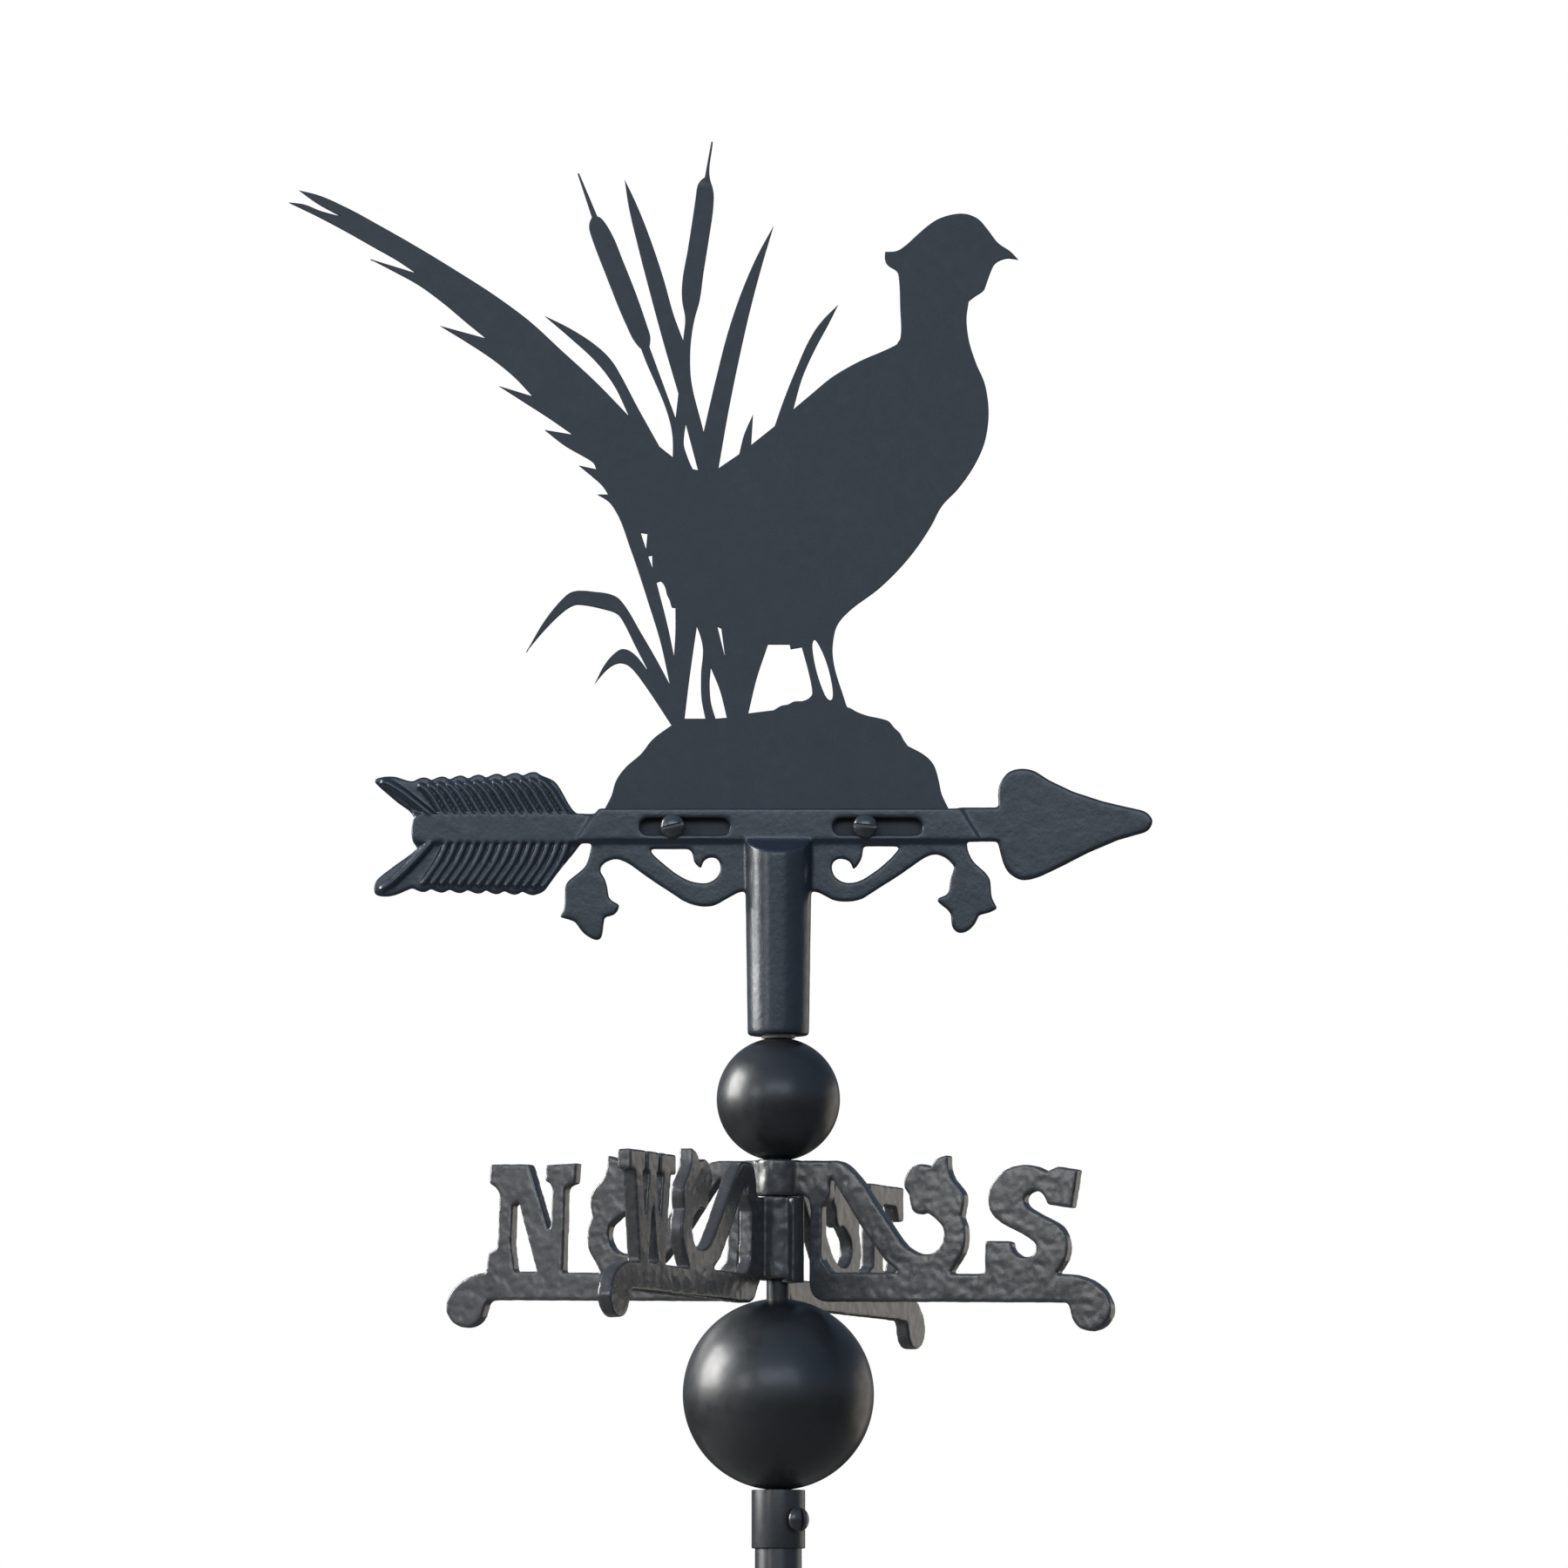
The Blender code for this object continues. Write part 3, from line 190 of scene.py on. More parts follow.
def powder_coat(name, colour, rough, peel_mm, peel_depth, grain_depth, coat=0.25, clouds=0.2,
                uneven=0.07):
    """Powder coat: orange peel over a fine grain, uneven gloss, paler where corners are rubbed."""
    mat = bpy.data.materials.new(name)
    mat.use_nodes = True
    tree = mat.node_tree
    nodes, links = tree.nodes, tree.links
    shader = nodes["Principled BSDF"]
    shader.inputs["Coat Weight"].default_value = coat
    shader.inputs["Coat Roughness"].default_value = TOP_GLOSS
    shader.inputs["Specular IOR Level"].default_value = 0.5
    place = nodes.new("ShaderNodeTexCoord")

    def pattern(size_mm, detail, roughness=0.5):
        node = nodes.new("ShaderNodeTexNoise")
        node.inputs["Scale"].default_value = 1.0 / (size_mm * MM)
        node.inputs["Detail"].default_value = detail
        node.inputs["Roughness"].default_value = roughness
        links.new(place.outputs["Object"], node.inputs["Vector"])
        return node.outputs["Fac"]

    def spread(source, low, high, from_low=0.3, from_high=0.7):
        node = nodes.new("ShaderNodeMapRange")
        node.inputs["From Min"].default_value = from_low
        node.inputs["From Max"].default_value = from_high
        node.inputs["To Min"].default_value = low
        node.inputs["To Max"].default_value = high
        links.new(source, node.inputs["Value"])
        return node.outputs["Result"]

    def blend(amount, first, second):
        node = nodes.new("ShaderNodeMix")
        node.data_type = 'RGBA'
        links.new(amount, node.inputs["Factor"])
        for socket, value in ((node.inputs[6], first), (node.inputs[7], second)):
            if isinstance(value, tuple):
                socket.default_value = (*value, 1)
            else:
                links.new(value, socket)
        return node.outputs[2]

    deep = tuple(c * (1 - clouds) for c in colour)
    pale = tuple(c * (1 + clouds) for c in colour)
    fleck, worn = (tuple(min(1.0, c * times + plus) for c in colour)
                   for times, plus in (FLECK_LIFT, RUBBED_LIFT))
    tone = blend(spread(pattern(CLOUD_MM, 3), 0.0, 1.0), deep, pale)
    tone = blend(spread(pattern(FLECK_MM, 2), *FLECKED), tone, fleck)
    edge = nodes.new("ShaderNodeNewGeometry")
    rubbed = spread(edge.outputs["Pointiness"], *RUBBED)
    patchy = nodes.new("ShaderNodeMath")
    patchy.operation = 'MULTIPLY'
    links.new(rubbed, patchy.inputs[0])
    links.new(spread(pattern(RUB_MM, 4, 0.7), *PATCHY), patchy.inputs[1])
    tone = blend(patchy.outputs[0], tone, worn)
    links.new(tone, shader.inputs["Base Color"])
    gloss = spread(pattern(SHEEN_MM, 4, 0.6), rough - uneven, rough + uneven)
    links.new(gloss, shader.inputs["Roughness"])

    normal = None
    for size, depth in ((peel_mm, peel_depth), (peel_mm * GRAIN_SHARE, grain_depth)):
        bump = nodes.new("ShaderNodeBump")
        bump.inputs["Distance"].default_value = depth * MM
        bump.inputs["Strength"].default_value = 1.0
        links.new(pattern(size, 2), bump.inputs["Height"])
        if normal:
            links.new(normal, bump.inputs["Normal"])
        normal = bump.outputs["Normal"]
    links.new(normal, shader.inputs["Normal"])
    return mat


def finish_piece(name, bm, mat, body, slot, *nodes, crease=38):
    """Turn a bmesh in millimetres into a smooth piece that rides on a body."""
    bmesh.ops.remove_doubles(bm, verts=bm.verts[:], dist=MERGE_MM)
    bmesh.ops.recalc_face_normals(bm, faces=bm.faces[:])
    bmesh.ops.scale(bm, vec=(MM, MM, MM), verts=bm.verts[:])
    mesh = bpy.data.meshes.new(name)
    bm.to_mesh(mesh)
    bm.free()
    return finish_mesh(name, mesh, mat, body, slot, *nodes, crease=crease)


def finish_mesh(name, mesh, mat, body, slot, *nodes, crease=38):
    """Coat a mesh in metres, put it on its body, and hide the CAD nodes it stands for."""
    mesh.shade_smooth()
    mesh.set_sharp_from_angle(angle=math.radians(crease))
    mesh.materials.clear()
    mesh.materials.append(mat)
    piece = bpy.data.objects.new(name, mesh)
    bpy.context.scene.collection.objects.link(piece)
    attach(piece, body)
    if nodes:
        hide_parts(*nodes)
    return piece


ON_AXIS = 0.01                # a profile's point nearer the axis than this stays sharp
NEARLY_STRAIGHT = math.radians(170)
MOST_OF_A_SIDE, ARC_STEPS = 0.45, 4


def eased(profile, radius):
    """Round every corner of a closed (radius, height) profile with a short arc."""
    out = []
    for i, corner in enumerate(profile):
        before, here, after = (Vector(profile[i - 1]), Vector(corner),
                               Vector(profile[(i + 1) % len(profile)]))
        inward, outward = before - here, after - here
        if here.x < ON_AXIS or not radius or inward.angle(outward, math.pi) > NEARLY_STRAIGHT:
            out.append(here)
            continue
        reach = min(radius, inward.length * MOST_OF_A_SIDE, outward.length * MOST_OF_A_SIDE)
        start = here + inward.normalized() * reach
        end = here + outward.normalized() * reach
        for k in range(ARC_STEPS + 1):
            t = k / ARC_STEPS
            out.append(start * (1 - t) ** 2 + here * (2 * t * (1 - t)) + end * t ** 2)
    return [(p.x, p.y) for p in out]


def turned(profile, sides=96, ease=0.35):
    """Turn a closed (radius, height) profile, in millimetres, about the vane's axis."""
    bm = bmesh.new()
    verts = [bm.verts.new((r, 0, z)) for r, z in eased(profile, ease)]
    edges = [bm.edges.new((a, b)) for a, b in zip(verts, verts[1:] + verts[:1])]
    bmesh.ops.spin(bm, geom=verts + edges, cent=(0, 0, 0), axis=(0, 0, 1),
                   angle=2 * math.pi, steps=sides, use_duplicate=False)
    bmesh.ops.remove_doubles(bm, verts=bm.verts[:], dist=MERGE_MM)
    return bm


pole_coat = powder_coat("satin_black_tube_coat", POLE_COLOUR, rough=0.36, peel_mm=2.4,
                        peel_depth=0.035, grain_depth=0.006)
pole = turned([(POLE_BORE_R, POLE_LOW), (POLE_R, POLE_LOW), (POLE_R, POLE_TOP),
               (POLE_BORE_R, POLE_TOP)], ease=0.5)
finish_piece("pole_tube", pole, pole_coat, "mast", "pole_coat", "mounting_pole")


def moulded_nylon(name, deep, pale):
    """Nylon: low sheen, faint flow marks and a sandblasted grain."""
    mat = bpy.data.materials.new(name)
    mat.use_nodes = True
    nodes, links = mat.node_tree.nodes, mat.node_tree.links
    shader = nodes["Principled BSDF"]
    place = nodes.new("ShaderNodeTexCoord")
    flow, grain = nodes.new("ShaderNodeTexNoise"), nodes.new("ShaderNodeTexNoise")
    flow.inputs["Scale"].default_value = FLOW_SCALE
    flow.inputs["Distortion"].default_value = FLOW_BEND
    grain.inputs["Scale"].default_value = GRIT_SCALE
    tone, bump = nodes.new("ShaderNodeValToRGB"), nodes.new("ShaderNodeBump")
    tone.color_ramp.elements[0].color = (*deep, 1)
    tone.color_ramp.elements[1].color = (*pale, 1)
    gloss = nodes.new("ShaderNodeMapRange")
    gloss.inputs["To Min"].default_value, gloss.inputs["To Max"].default_value = NYLON_GLOSS
    bump.inputs["Distance"].default_value = GRIT_DEEP_MM * MM
    for source, sink in ((place.outputs["Object"], flow.inputs["Vector"]),
                         (place.outputs["Object"], grain.inputs["Vector"]),
                         (flow.outputs["Fac"], tone.inputs["Fac"]),
                         (flow.outputs["Fac"], gloss.inputs["Value"]),
                         (grain.outputs["Fac"], bump.inputs["Height"]),
                         (tone.outputs["Color"], shader.inputs["Base Color"]),
                         (gloss.outputs["Result"], shader.inputs["Roughness"]),
                         (bump.outputs["Normal"], shader.inputs["Normal"])):
        links.new(source, sink)
    return mat


NYLON_DEEP, NYLON_PALE = (0.012, 0.012, 0.013), (0.030, 0.030, 0.031)
nylon = moulded_nylon("black_moulded_nylon", NYLON_DEEP, NYLON_PALE)
GRIP_R, FLANGE_TOP, STEM_TOP, STEM_CHAMFER = 10.2, 3.0, 20.0, 0.4
STEM_R, GRIPS, GRIP_START, GRIP_PITCH = 9.5, 4, 5.0, 4.0
GRIP_PROFILE = ((STEM_R, 0.0), (GRIP_R, 0.6), (GRIP_R, 1.6), (STEM_R, 2.2))
plug = [(0, 0), (POLE_R, 0), (POLE_R, FLANGE_TOP), (STEM_R, FLANGE_TOP)]
for grip in range(GRIPS):     # gripping rings round the stem
    plug += [(r, GRIP_START + grip * GRIP_PITCH + up) for r, up in GRIP_PROFILE]
plug += [(STEM_R, STEM_TOP - STEM_CHAMFER), (0, STEM_TOP)]
finish_piece("pole_end_plug", turned(plug, ease=0.3), nylon, "mast", "moulded_nylon",
             "pole_foot_plug")


# ---------------------------------------------------------------------------
# Pole socket, its seat and its clamp screw. A short steel sleeve fits over the pole; a zinc
# plated disc is pressed into its top, and a domed slotted screw through its wall grips the pole.
# ---------------------------------------------------------------------------
SOCKET_LOW, SOCKET_HIGH = 300.0, 331.0
SOCKET_R, SOCKET_BORE_R = 14.3, 12.8
SEAT_LOW, SEAT_HIGH, SEAT_R, SEAT_BORE_R = 324.2, 330.7, 12.5, 5.3
CLAMP_Z, CLAMP_ANGLE = 315.0, -52.0
CLAMP_HOLE_R, SCREW_SHANK_R = 3.3, 3.0
CLAMP_TIP_GAP, CLAMP_STANDOFF = 0.3, 2.5   # off the pole, and head off the socket
HEAD_R, HEAD_HIGH, HEAD_RIM = 6.5, 4.2, 0.9
HEAD_BREAK, TIP_CHAMFER, DOME_STEPS = 0.15, 0.6, 10
SLOT_HALF, SLOT_DEEP = 0.85, 2.3
SCREW_COLOUR = (0.030, 0.034, 0.038)
ZINC_DULL, ZINC_BRIGHT = (0.42, 0.43, 0.44, 1), (0.62, 0.62, 0.60, 1)
SPANGLE_SCALE, MARK_SCALE = 700.0, 900.0
ZINC_GLOSS, MARK_DEEP_MM = (0.24, 0.46), 0.015


def zinc_plate():
    """Zinc plated steel: dull silver with a faint spangle and fine tool marks."""
    mat = bpy.data.materials.new("zinc_plated_fixings")
    mat.use_nodes = True
    nodes, links = mat.node_tree.nodes, mat.node_tree.links
    shader = nodes["Principled BSDF"]
    shader.inputs["Metallic"].default_value = 1.0
    place = nodes.new("ShaderNodeTexCoord")
    spangle, marks = nodes.new("ShaderNodeTexVoronoi"), nodes.new("ShaderNodeTexNoise")
    spangle.inputs["Scale"].default_value = SPANGLE_SCALE
    marks.inputs["Scale"].default_value, marks.inputs["Detail"].default_value = MARK_SCALE, 5.0
    tone, bump = nodes.new("ShaderNodeValToRGB"), nodes.new("ShaderNodeBump")
    tone.color_ramp.elements[0].color = ZINC_DULL
    tone.color_ramp.elements[1].color = ZINC_BRIGHT
    gloss = nodes.new("ShaderNodeMapRange")
    gloss.inputs["To Min"].default_value, gloss.inputs["To Max"].default_value = ZINC_GLOSS
    bump.inputs["Distance"].default_value = MARK_DEEP_MM * MM
    for source, sink in ((place.outputs["Object"], spangle.inputs["Vector"]),
                         (place.outputs["Object"], marks.inputs["Vector"]),
                         (spangle.outputs["Color"], tone.inputs["Fac"]),
                         (marks.outputs["Fac"], gloss.inputs["Value"]),
                         (marks.outputs["Fac"], bump.inputs["Height"]),
                         (tone.outputs["Color"], shader.inputs["Base Color"]),
                         (gloss.outputs["Result"], shader.inputs["Roughness"]),
                         (bump.outputs["Normal"], shader.inputs["Normal"])):
        links.new(source, sink)
    return mat


zinc = zinc_plate()


def to_object(name, bm):
    """A bmesh as an object in the scene; the bmesh is freed."""
    mesh = bpy.data.meshes.new(name)
    bmesh.ops.recalc_face_normals(bm, faces=bm.faces[:])
    bm.to_mesh(mesh)
    bm.free()
    obj = bpy.data.objects.new(name, mesh)
    bpy.context.scene.collection.objects.link(obj)
    return obj


def settle(obj):
    """The object's mesh with its modifiers applied; the object itself is removed."""
    graph = bpy.context.evaluated_depsgraph_get()
    mesh = bpy.data.meshes.new_from_object(obj.evaluated_get(graph))
    mesh.name = obj.name
    bpy.data.objects.remove(obj, do_unlink=True)
    return mesh


def cut(bm, tool_bm, name="blank", operation='DIFFERENCE'):
    """Cut or join one closed bmesh with another and give back a bmesh."""
    blank, tool = to_object(name, bm), to_object(name + "_tool", tool_bm)
    mod = blank.modifiers.new("cut", 'BOOLEAN')
    mod.operation, mod.solver, mod.object = operation, 'EXACT', tool
    result = bmesh.new()
    mesh = settle(blank)
    result.from_mesh(mesh)
    bpy.data.objects.remove(tool, do_unlink=True)
    bpy.data.meshes.remove(mesh)
    return result


def turn(bm, axis, degrees):
    """Turn a bmesh about an axis through the origin."""
    bmesh.ops.rotate(bm, matrix=Matrix.Rotation(math.radians(degrees), 3, axis),
                     cent=(0, 0, 0), verts=bm.verts[:])
    return bm


def shift(bm, x=0.0, y=0.0, z=0.0):
    """Move a bmesh."""
    bmesh.ops.translate(bm, vec=(x, y, z), verts=bm.verts[:])
    return bm


def box_shape(low, high):
    """A box between two corners."""
    bm = bmesh.new()
    bmesh.ops.create_cube(bm, size=1.0)
    size = [b - a for a, b in zip(low, high)]
    bmesh.ops.scale(bm, vec=size, verts=bm.verts[:])
    return shift(bm, *[(a + b) / 2 for a, b in zip(low, high)])


def domed_screw(tip, head_start):
    """Slotted domed screw along +Z from its tip to its head, turned and then slotted."""
    rim, rise = head_start + HEAD_RIM, HEAD_HIGH - HEAD_RIM
    dome = [(HEAD_R * math.cos(a), rim + rise * math.sin(a))
            for a in (math.radians(90 * k / DOME_STEPS) for k in range(DOME_STEPS))]
    shank = [(0, tip), (SCREW_SHANK_R - TIP_CHAMFER, tip), (SCREW_SHANK_R, tip + TIP_CHAMFER),
             (SCREW_SHANK_R, head_start), (HEAD_R - HEAD_BREAK, head_start)]
    blank = turned(shank + dome + [(0, head_start + HEAD_HIGH)], sides=72, ease=0.12)
    slot = box_shape((-SLOT_HALF, -2 * HEAD_R, head_start + HEAD_HIGH - SLOT_DEEP),
                     (SLOT_HALF, 2 * HEAD_R, head_start + 2 * HEAD_HIGH))
    return cut(blank, slot, "screw")


socket_wall = turned([(SOCKET_BORE_R, SOCKET_LOW), (SOCKET_R, SOCKET_LOW),
                      (SOCKET_R, SOCKET_HIGH), (SOCKET_BORE_R, SOCKET_HIGH)], ease=0.45)
drill = turned([(0, 0), (CLAMP_HOLE_R, 0), (CLAMP_HOLE_R, SOCKET_R * 2), (0, SOCKET_R * 2)],
               sides=48, ease=0)
drill = turn(shift(turn(drill, 'Y', 90), z=CLAMP_Z), 'Z', CLAMP_ANGLE)
finish_piece("socket_sleeve", cut(socket_wall, drill, "socket"), pole_coat, "mast", "pole_coat",
             "pole_socket")
seat = turned([(SEAT_BORE_R, SEAT_LOW), (SEAT_R, SEAT_LOW), (SEAT_R, SEAT_HIGH),
               (SEAT_BORE_R, SEAT_HIGH)], ease=0.5)
finish_piece("socket_seat", seat, zinc, "mast", "zinc_steel", "spindle_seat")

screw_coat = powder_coat("screw_head_coat", SCREW_COLOUR, rough=0.26, peel_mm=1.6,
                         peel_depth=0.02, grain_depth=0.004, coat=0.5)
clamp = domed_screw(POLE_R + CLAMP_TIP_GAP, SOCKET_R + CLAMP_STANDOFF)
clamp = turn(shift(turn(turn(clamp, 'Z', 90), 'Y', 90), z=CLAMP_Z), 'Z', CLAMP_ANGLE)
finish_piece("socket_screw", clamp, screw_coat, "mast", "screw_coat", "socket_clamp_screw")


# ---------------------------------------------------------------------------
# Spindle, its lock nut and the bearing ball. The spindle is a 12.7 mm steel rod whose turned-down
# stud passes through the seat and is held by a plated nut; the arrow turns on a ball on its end.
# ---------------------------------------------------------------------------
SPINDLE_R, STUD_R = 6.35, 5.0
STUD_END, SHOULDER, SPINDLE_TOP = 314.2, 331.0, 660.2
NUT_LOW, NUT_HIGH, NUT_FLATS = 315.9, 323.9, 17.0
STUD_CHAMFER, TOP_CHAMFER, NUT_GAP = 0.7, 0.8, 0.3
BALL_R, BALL_Z, BALL_SHEEN = 4.5, 665.0, (0.06, 0.14)
CROWN_SHARE, CROWN_SLOPE, CROWN_OVER = 0.97, 0.58, 0.2   # where a nut's corners are turned off


def hexagon_nut(flats, bore_r, low, high):
    """Hexagon nut along Z: a prism whose corners are turned off at 30 degrees."""
    corner = flats / math.sqrt(3)
    blank = bmesh.new()
    bmesh.ops.create_cone(blank, cap_ends=True, segments=6, radius1=corner, radius2=corner,
                          depth=high - low)
    shift(blank, z=(low + high) / 2)
    drop = (corner - flats / 2) * CROWN_SLOPE
    inner, outer = flats / 2 * CROWN_SHARE, corner + CROWN_OVER
    crown = turned([(bore_r, low), (inner, low), (outer, low + drop), (outer, high - drop),
                    (inner, high), (bore_r, high)], sides=72, ease=0)
    return cut(blank, crown, "nut", 'INTERSECT')


spindle = turned([(0, STUD_END), (STUD_R - STUD_CHAMFER, STUD_END),
                  (STUD_R, STUD_END + STUD_CHAMFER), (STUD_R, SHOULDER), (SPINDLE_R, SHOULDER),
                  (SPINDLE_R, SPINDLE_TOP - TOP_CHAMFER),
                  (SPINDLE_R - TOP_CHAMFER, SPINDLE_TOP), (0, SPINDLE_TOP)], sides=80, ease=0.2)
finish_piece("spindle", spindle, pole_coat, "mast", "pole_coat", "spindle_rod")
lock_nut = hexagon_nut(NUT_FLATS, STUD_R + NUT_GAP, NUT_LOW, NUT_HIGH)
finish_piece("spindle_nut", lock_nut, zinc, "mast", "zinc_steel", "spindle_lock_nut")

bearing = bmesh.new()
bmesh.ops.create_uvsphere(bearing, u_segments=48, v_segments=32, radius=BALL_R)
bearing_steel = zinc.copy()
bearing_steel.name = "polished_bearing_steel"
sheen = next(n for n in bearing_steel.node_tree.nodes if n.type == 'MAP_RANGE')
sheen.inputs["To Min"].default_value, sheen.inputs["To Max"].default_value = BALL_SHEEN
finish_piece("thrust_ball", shift(bearing, z=BALL_Z), bearing_steel, "mast", "bearing_steel",
             "pivot_ball")


# ---------------------------------------------------------------------------
# The two balls. Each is spun from thin sheet in two halves, closed round the spindle and coated
# satin black; the collar round each spindle hole is pressed slightly inwards.
# ---------------------------------------------------------------------------
BALLS = (("big_ball", 51.0), ("small_ball", 33.0))
BALL_WALL, BALL_HOLE_R, BALL_RINGS = 1.2, 6.65, 72
BALL_COLOUR = (0.014, 0.016, 0.018)

ball_coat = powder_coat("satin_black_ball_coat", BALL_COLOUR, rough=0.40, peel_mm=3.0,
                        peel_depth=0.03, grain_depth=0.004)


def spun_ball(radius, centre):
    """Thin shell with its outer and inner skins joined at the two spindle holes."""
    profile = []
    for r, way in ((radius, 1), (radius - BALL_WALL, -1)):
        lip = math.acos(BALL_HOLE_R / r)
        for i in range(BALL_RINGS + 1):
            a = lip * (1 - 2 * i / BALL_RINGS) * way
            profile.append((r * math.cos(a), centre + r * math.sin(a)))
    return turned(profile, sides=144, ease=0)


for name, radius in BALLS:
    low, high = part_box(name)
    centre = (low[2] + high[2]) / 2 / MM
    shell = spun_ball(radius, centre)
    finish_piece(name + "_shell", shell, ball_coat, "mast", "ball_coat", name)


# ---------------------------------------------------------------------------
# The two compass castings. Sand-cast aluminium arms with scrolls and letters, one over the other
# on the spindle, tumbled smooth at the edges, coated slate black and held by grub screws.
# ---------------------------------------------------------------------------
CAST_GRID = 0.62              # millimetres between the points of a casting's skin
SAND_ROUGH = ((7.0, 0.15), (3.4, 0.15))     # sizes and heights of the lumps sand leaves
KEEP_FACES = 190000           # most triangles that a finished casting keeps
ARM_WEAR, EVEN_STEPS = 10, 4  # smoothing steps: worn edges, and the thinned mesh
WEAR = 0.5                    # how far a step moves a point towards its neighbours' middle
# The compass castings' copy of the casting coat is painted paler and greyer than the arrow's:
# painted light, standing in for the glints on their sand-cast lumps.
COMPASS_COLOUR_PAINTED_PALER = (0.041, 0.042, 0.044)

compass_coat_painted_paler = powder_coat("casting_coat_painted_paler_for_glints", COMPASS_COLOUR_PAINTED_PALER, rough=0.28,
                           peel_mm=2.6, peel_depth=0.08, grain_depth=0.004, coat=0.45)


def merged_copy(node):
    """A copy of a CAD node's mesh, in millimetres, with its loose triangles merged."""
    bm = bmesh.new()
    bm.from_mesh(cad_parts[node].data)
    bmesh.ops.scale(bm, vec=(1 / MM, 1 / MM, 1 / MM), verts=bm.verts[:])
    bmesh.ops.remove_doubles(bm, verts=bm.verts[:], dist=MERGE_MM)
    return bm


def tumbled(name, bm, smooth_steps, grid_mm=CAST_GRID):
    """Grow one even skin over a closed shape and wear its edges round."""
    blank = to_object(name, bm)
    grid = blank.modifiers.new("grid", 'REMESH')
    grid.mode = 'VOXEL'
    grid.voxel_size = grid_mm
    tumble = blank.modifiers.new("tumble", 'SMOOTH')
    tumble.factor, tumble.iterations = WEAR, smooth_steps
    return settle(blank)


def cast_skin(name, mesh, lumps):
    """Roughen a skin as sand leaves it, thin its mesh, and bring it to metres."""
    for vert, normal in zip(mesh.vertices, [n.vector.copy() for n in mesh.vertex_normals]):
        rise = sum(noise.noise(vert.co / size + Vector((size, 3, 5))) * high
                   for size, high in lumps)
        vert.co += normal * rise
    if len(mesh.polygons) * 2 > KEEP_FACES:
        thick = bpy.data.objects.new(name, mesh)
        bpy.context.scene.collection.objects.link(thick)
        thin = thick.modifiers.new("thin", 'DECIMATE')
        thin.ratio = KEEP_FACES / (len(mesh.polygons) * 2)
        even = thick.modifiers.new("even", 'SMOOTH')
        even.factor, even.iterations = WEAR, EVEN_STEPS
        mesh = settle(thick)
    mesh.transform(Matrix.Scale(MM, 4))
    return mesh


def dress(node, mat):
    """Give a CAD node that stays in view its real material."""
    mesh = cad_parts[node].data
    mesh.materials.clear()
    mesh.materials.append(mat)


for name in ("north_south", "west_east"):
    node = name + "_casting"
    skin = cast_skin(node + "_skin", tumbled(node, merged_copy(node), ARM_WEAR), SAND_ROUGH)
    finish_mesh(node + "_skin", skin, compass_coat_painted_paler, "compass", "casting_coat", node, crease=60)
    dress(name + "_grub_screw", zinc)


# ---------------------------------------------------------------------------
# The arrow casting. One aluminium casting: bar, scrolls, bearing sleeve, head, and a fletched
# tail whose feathers are raised ribs on a thinner web. It turns on two nylon bushes.
# ---------------------------------------------------------------------------
BAR_Z = 686.7                 # height of the bar's centreline
SHAFT_TOP, SHAFT_LOW = 6.0, -9.8
SHAFT_HALF, WEB_HALF = 3.3, 1.4
SHAFT_STRIP = [(-104, SHAFT_TOP), (-192.5, SHAFT_TOP), (-196.0, 2.5), (-196.6, -2.0),
               (-196.2, -6.5), (-193.5, SHAFT_LOW), (-104, SHAFT_LOW)]
WEB_CUTS = (                  # x, height over the bar: clear of the bar end and of the scroll
    [(-104.5, SHAFT_TOP), (-104.5, 45), (-235, 45), (-235, SHAFT_TOP)],
    [(-102.5, SHAFT_LOW), (-235, SHAFT_LOW), (-235, -45), (-119, -45), (-119, -33)])
RIB_R, RIB_SINK = 1.95, 1.45  # a rib's own radius, and how far its centre is from the web's middle
RIB_PITCH, RIB_COUNT = 4.95, 14
RIB_LINES = {                 # one rib of each row, from the shaft outwards: x, height over the bar
    "upper": [(-113.5, 5.0), (-117.3, 11.0), (-121.5, 18.0), (-125.5, 22.5), (-128.5, 24.6)],
    "lower": [(-113.0, -9.0), (-114.6, -15.0), (-118.0, -22.0), (-122.5, -28.5),
              (-126.6, -34.0)]}
TIP_LINES = {
    "upper": [(-186.0, 5.0), (-193.0, 10.5), (-201.0, 17.0), (-208.0, 21.5), (-213.0, 23.5)],
    "lower": [(-186.0, -9.0), (-191.5, -15.5), (-199.0, -23.5), (-206.5, -30.5),
              (-213.0, -35.2)]}
RIB_POINTS, RIB_SIDES = 24, 14
RIB_TAPER = (0.80, (0.10, 1.0), (0.55, 1.0), (0.90, 0.90), 0.60)   # root, along the rib, tip
ROW_RISE = (("upper", -0.22), ("lower", 0.13))      # how each rib's height differs from the last
TIP_RIB_R = 2.3
WEB_CUT_OUT = 6.0             # how far out from the middle the webs' cuts reach
BODY_WEAR, SKIN_WEAR, SKIN_GRID = 12, 4, 0.48
ARROW_ROUGH = ((8.0, 0.05), (2.4, 0.06))
ARROW_COLOUR = (0.015, 0.0225, 0.034)
NATURAL_DEEP, NATURAL_PALE = (0.40, 0.39, 0.36), (0.56, 0.55, 0.51)

arrow_coat = powder_coat("slate_black_arrow_coat", ARROW_COLOUR, rough=0.36, peel_mm=2.4,
                         peel_depth=0.12, grain_depth=0.006)


def node_inputs(tree, wanted):
    """Named inputs of a node tree, with their starting values."""
    tree.interface.new_socket("Geometry", in_out='INPUT', socket_type='NodeSocketGeometry')
    names = {}
    for label, kind, value in wanted:
        socket = tree.interface.new_socket(label, in_out='INPUT', socket_type=kind)
        if value is not None:
            socket.default_value = value
        names[label] = socket.identifier
    tree.interface.new_socket("Geometry", in_out='OUTPUT', socket_type='NodeSocketGeometry')
    return names


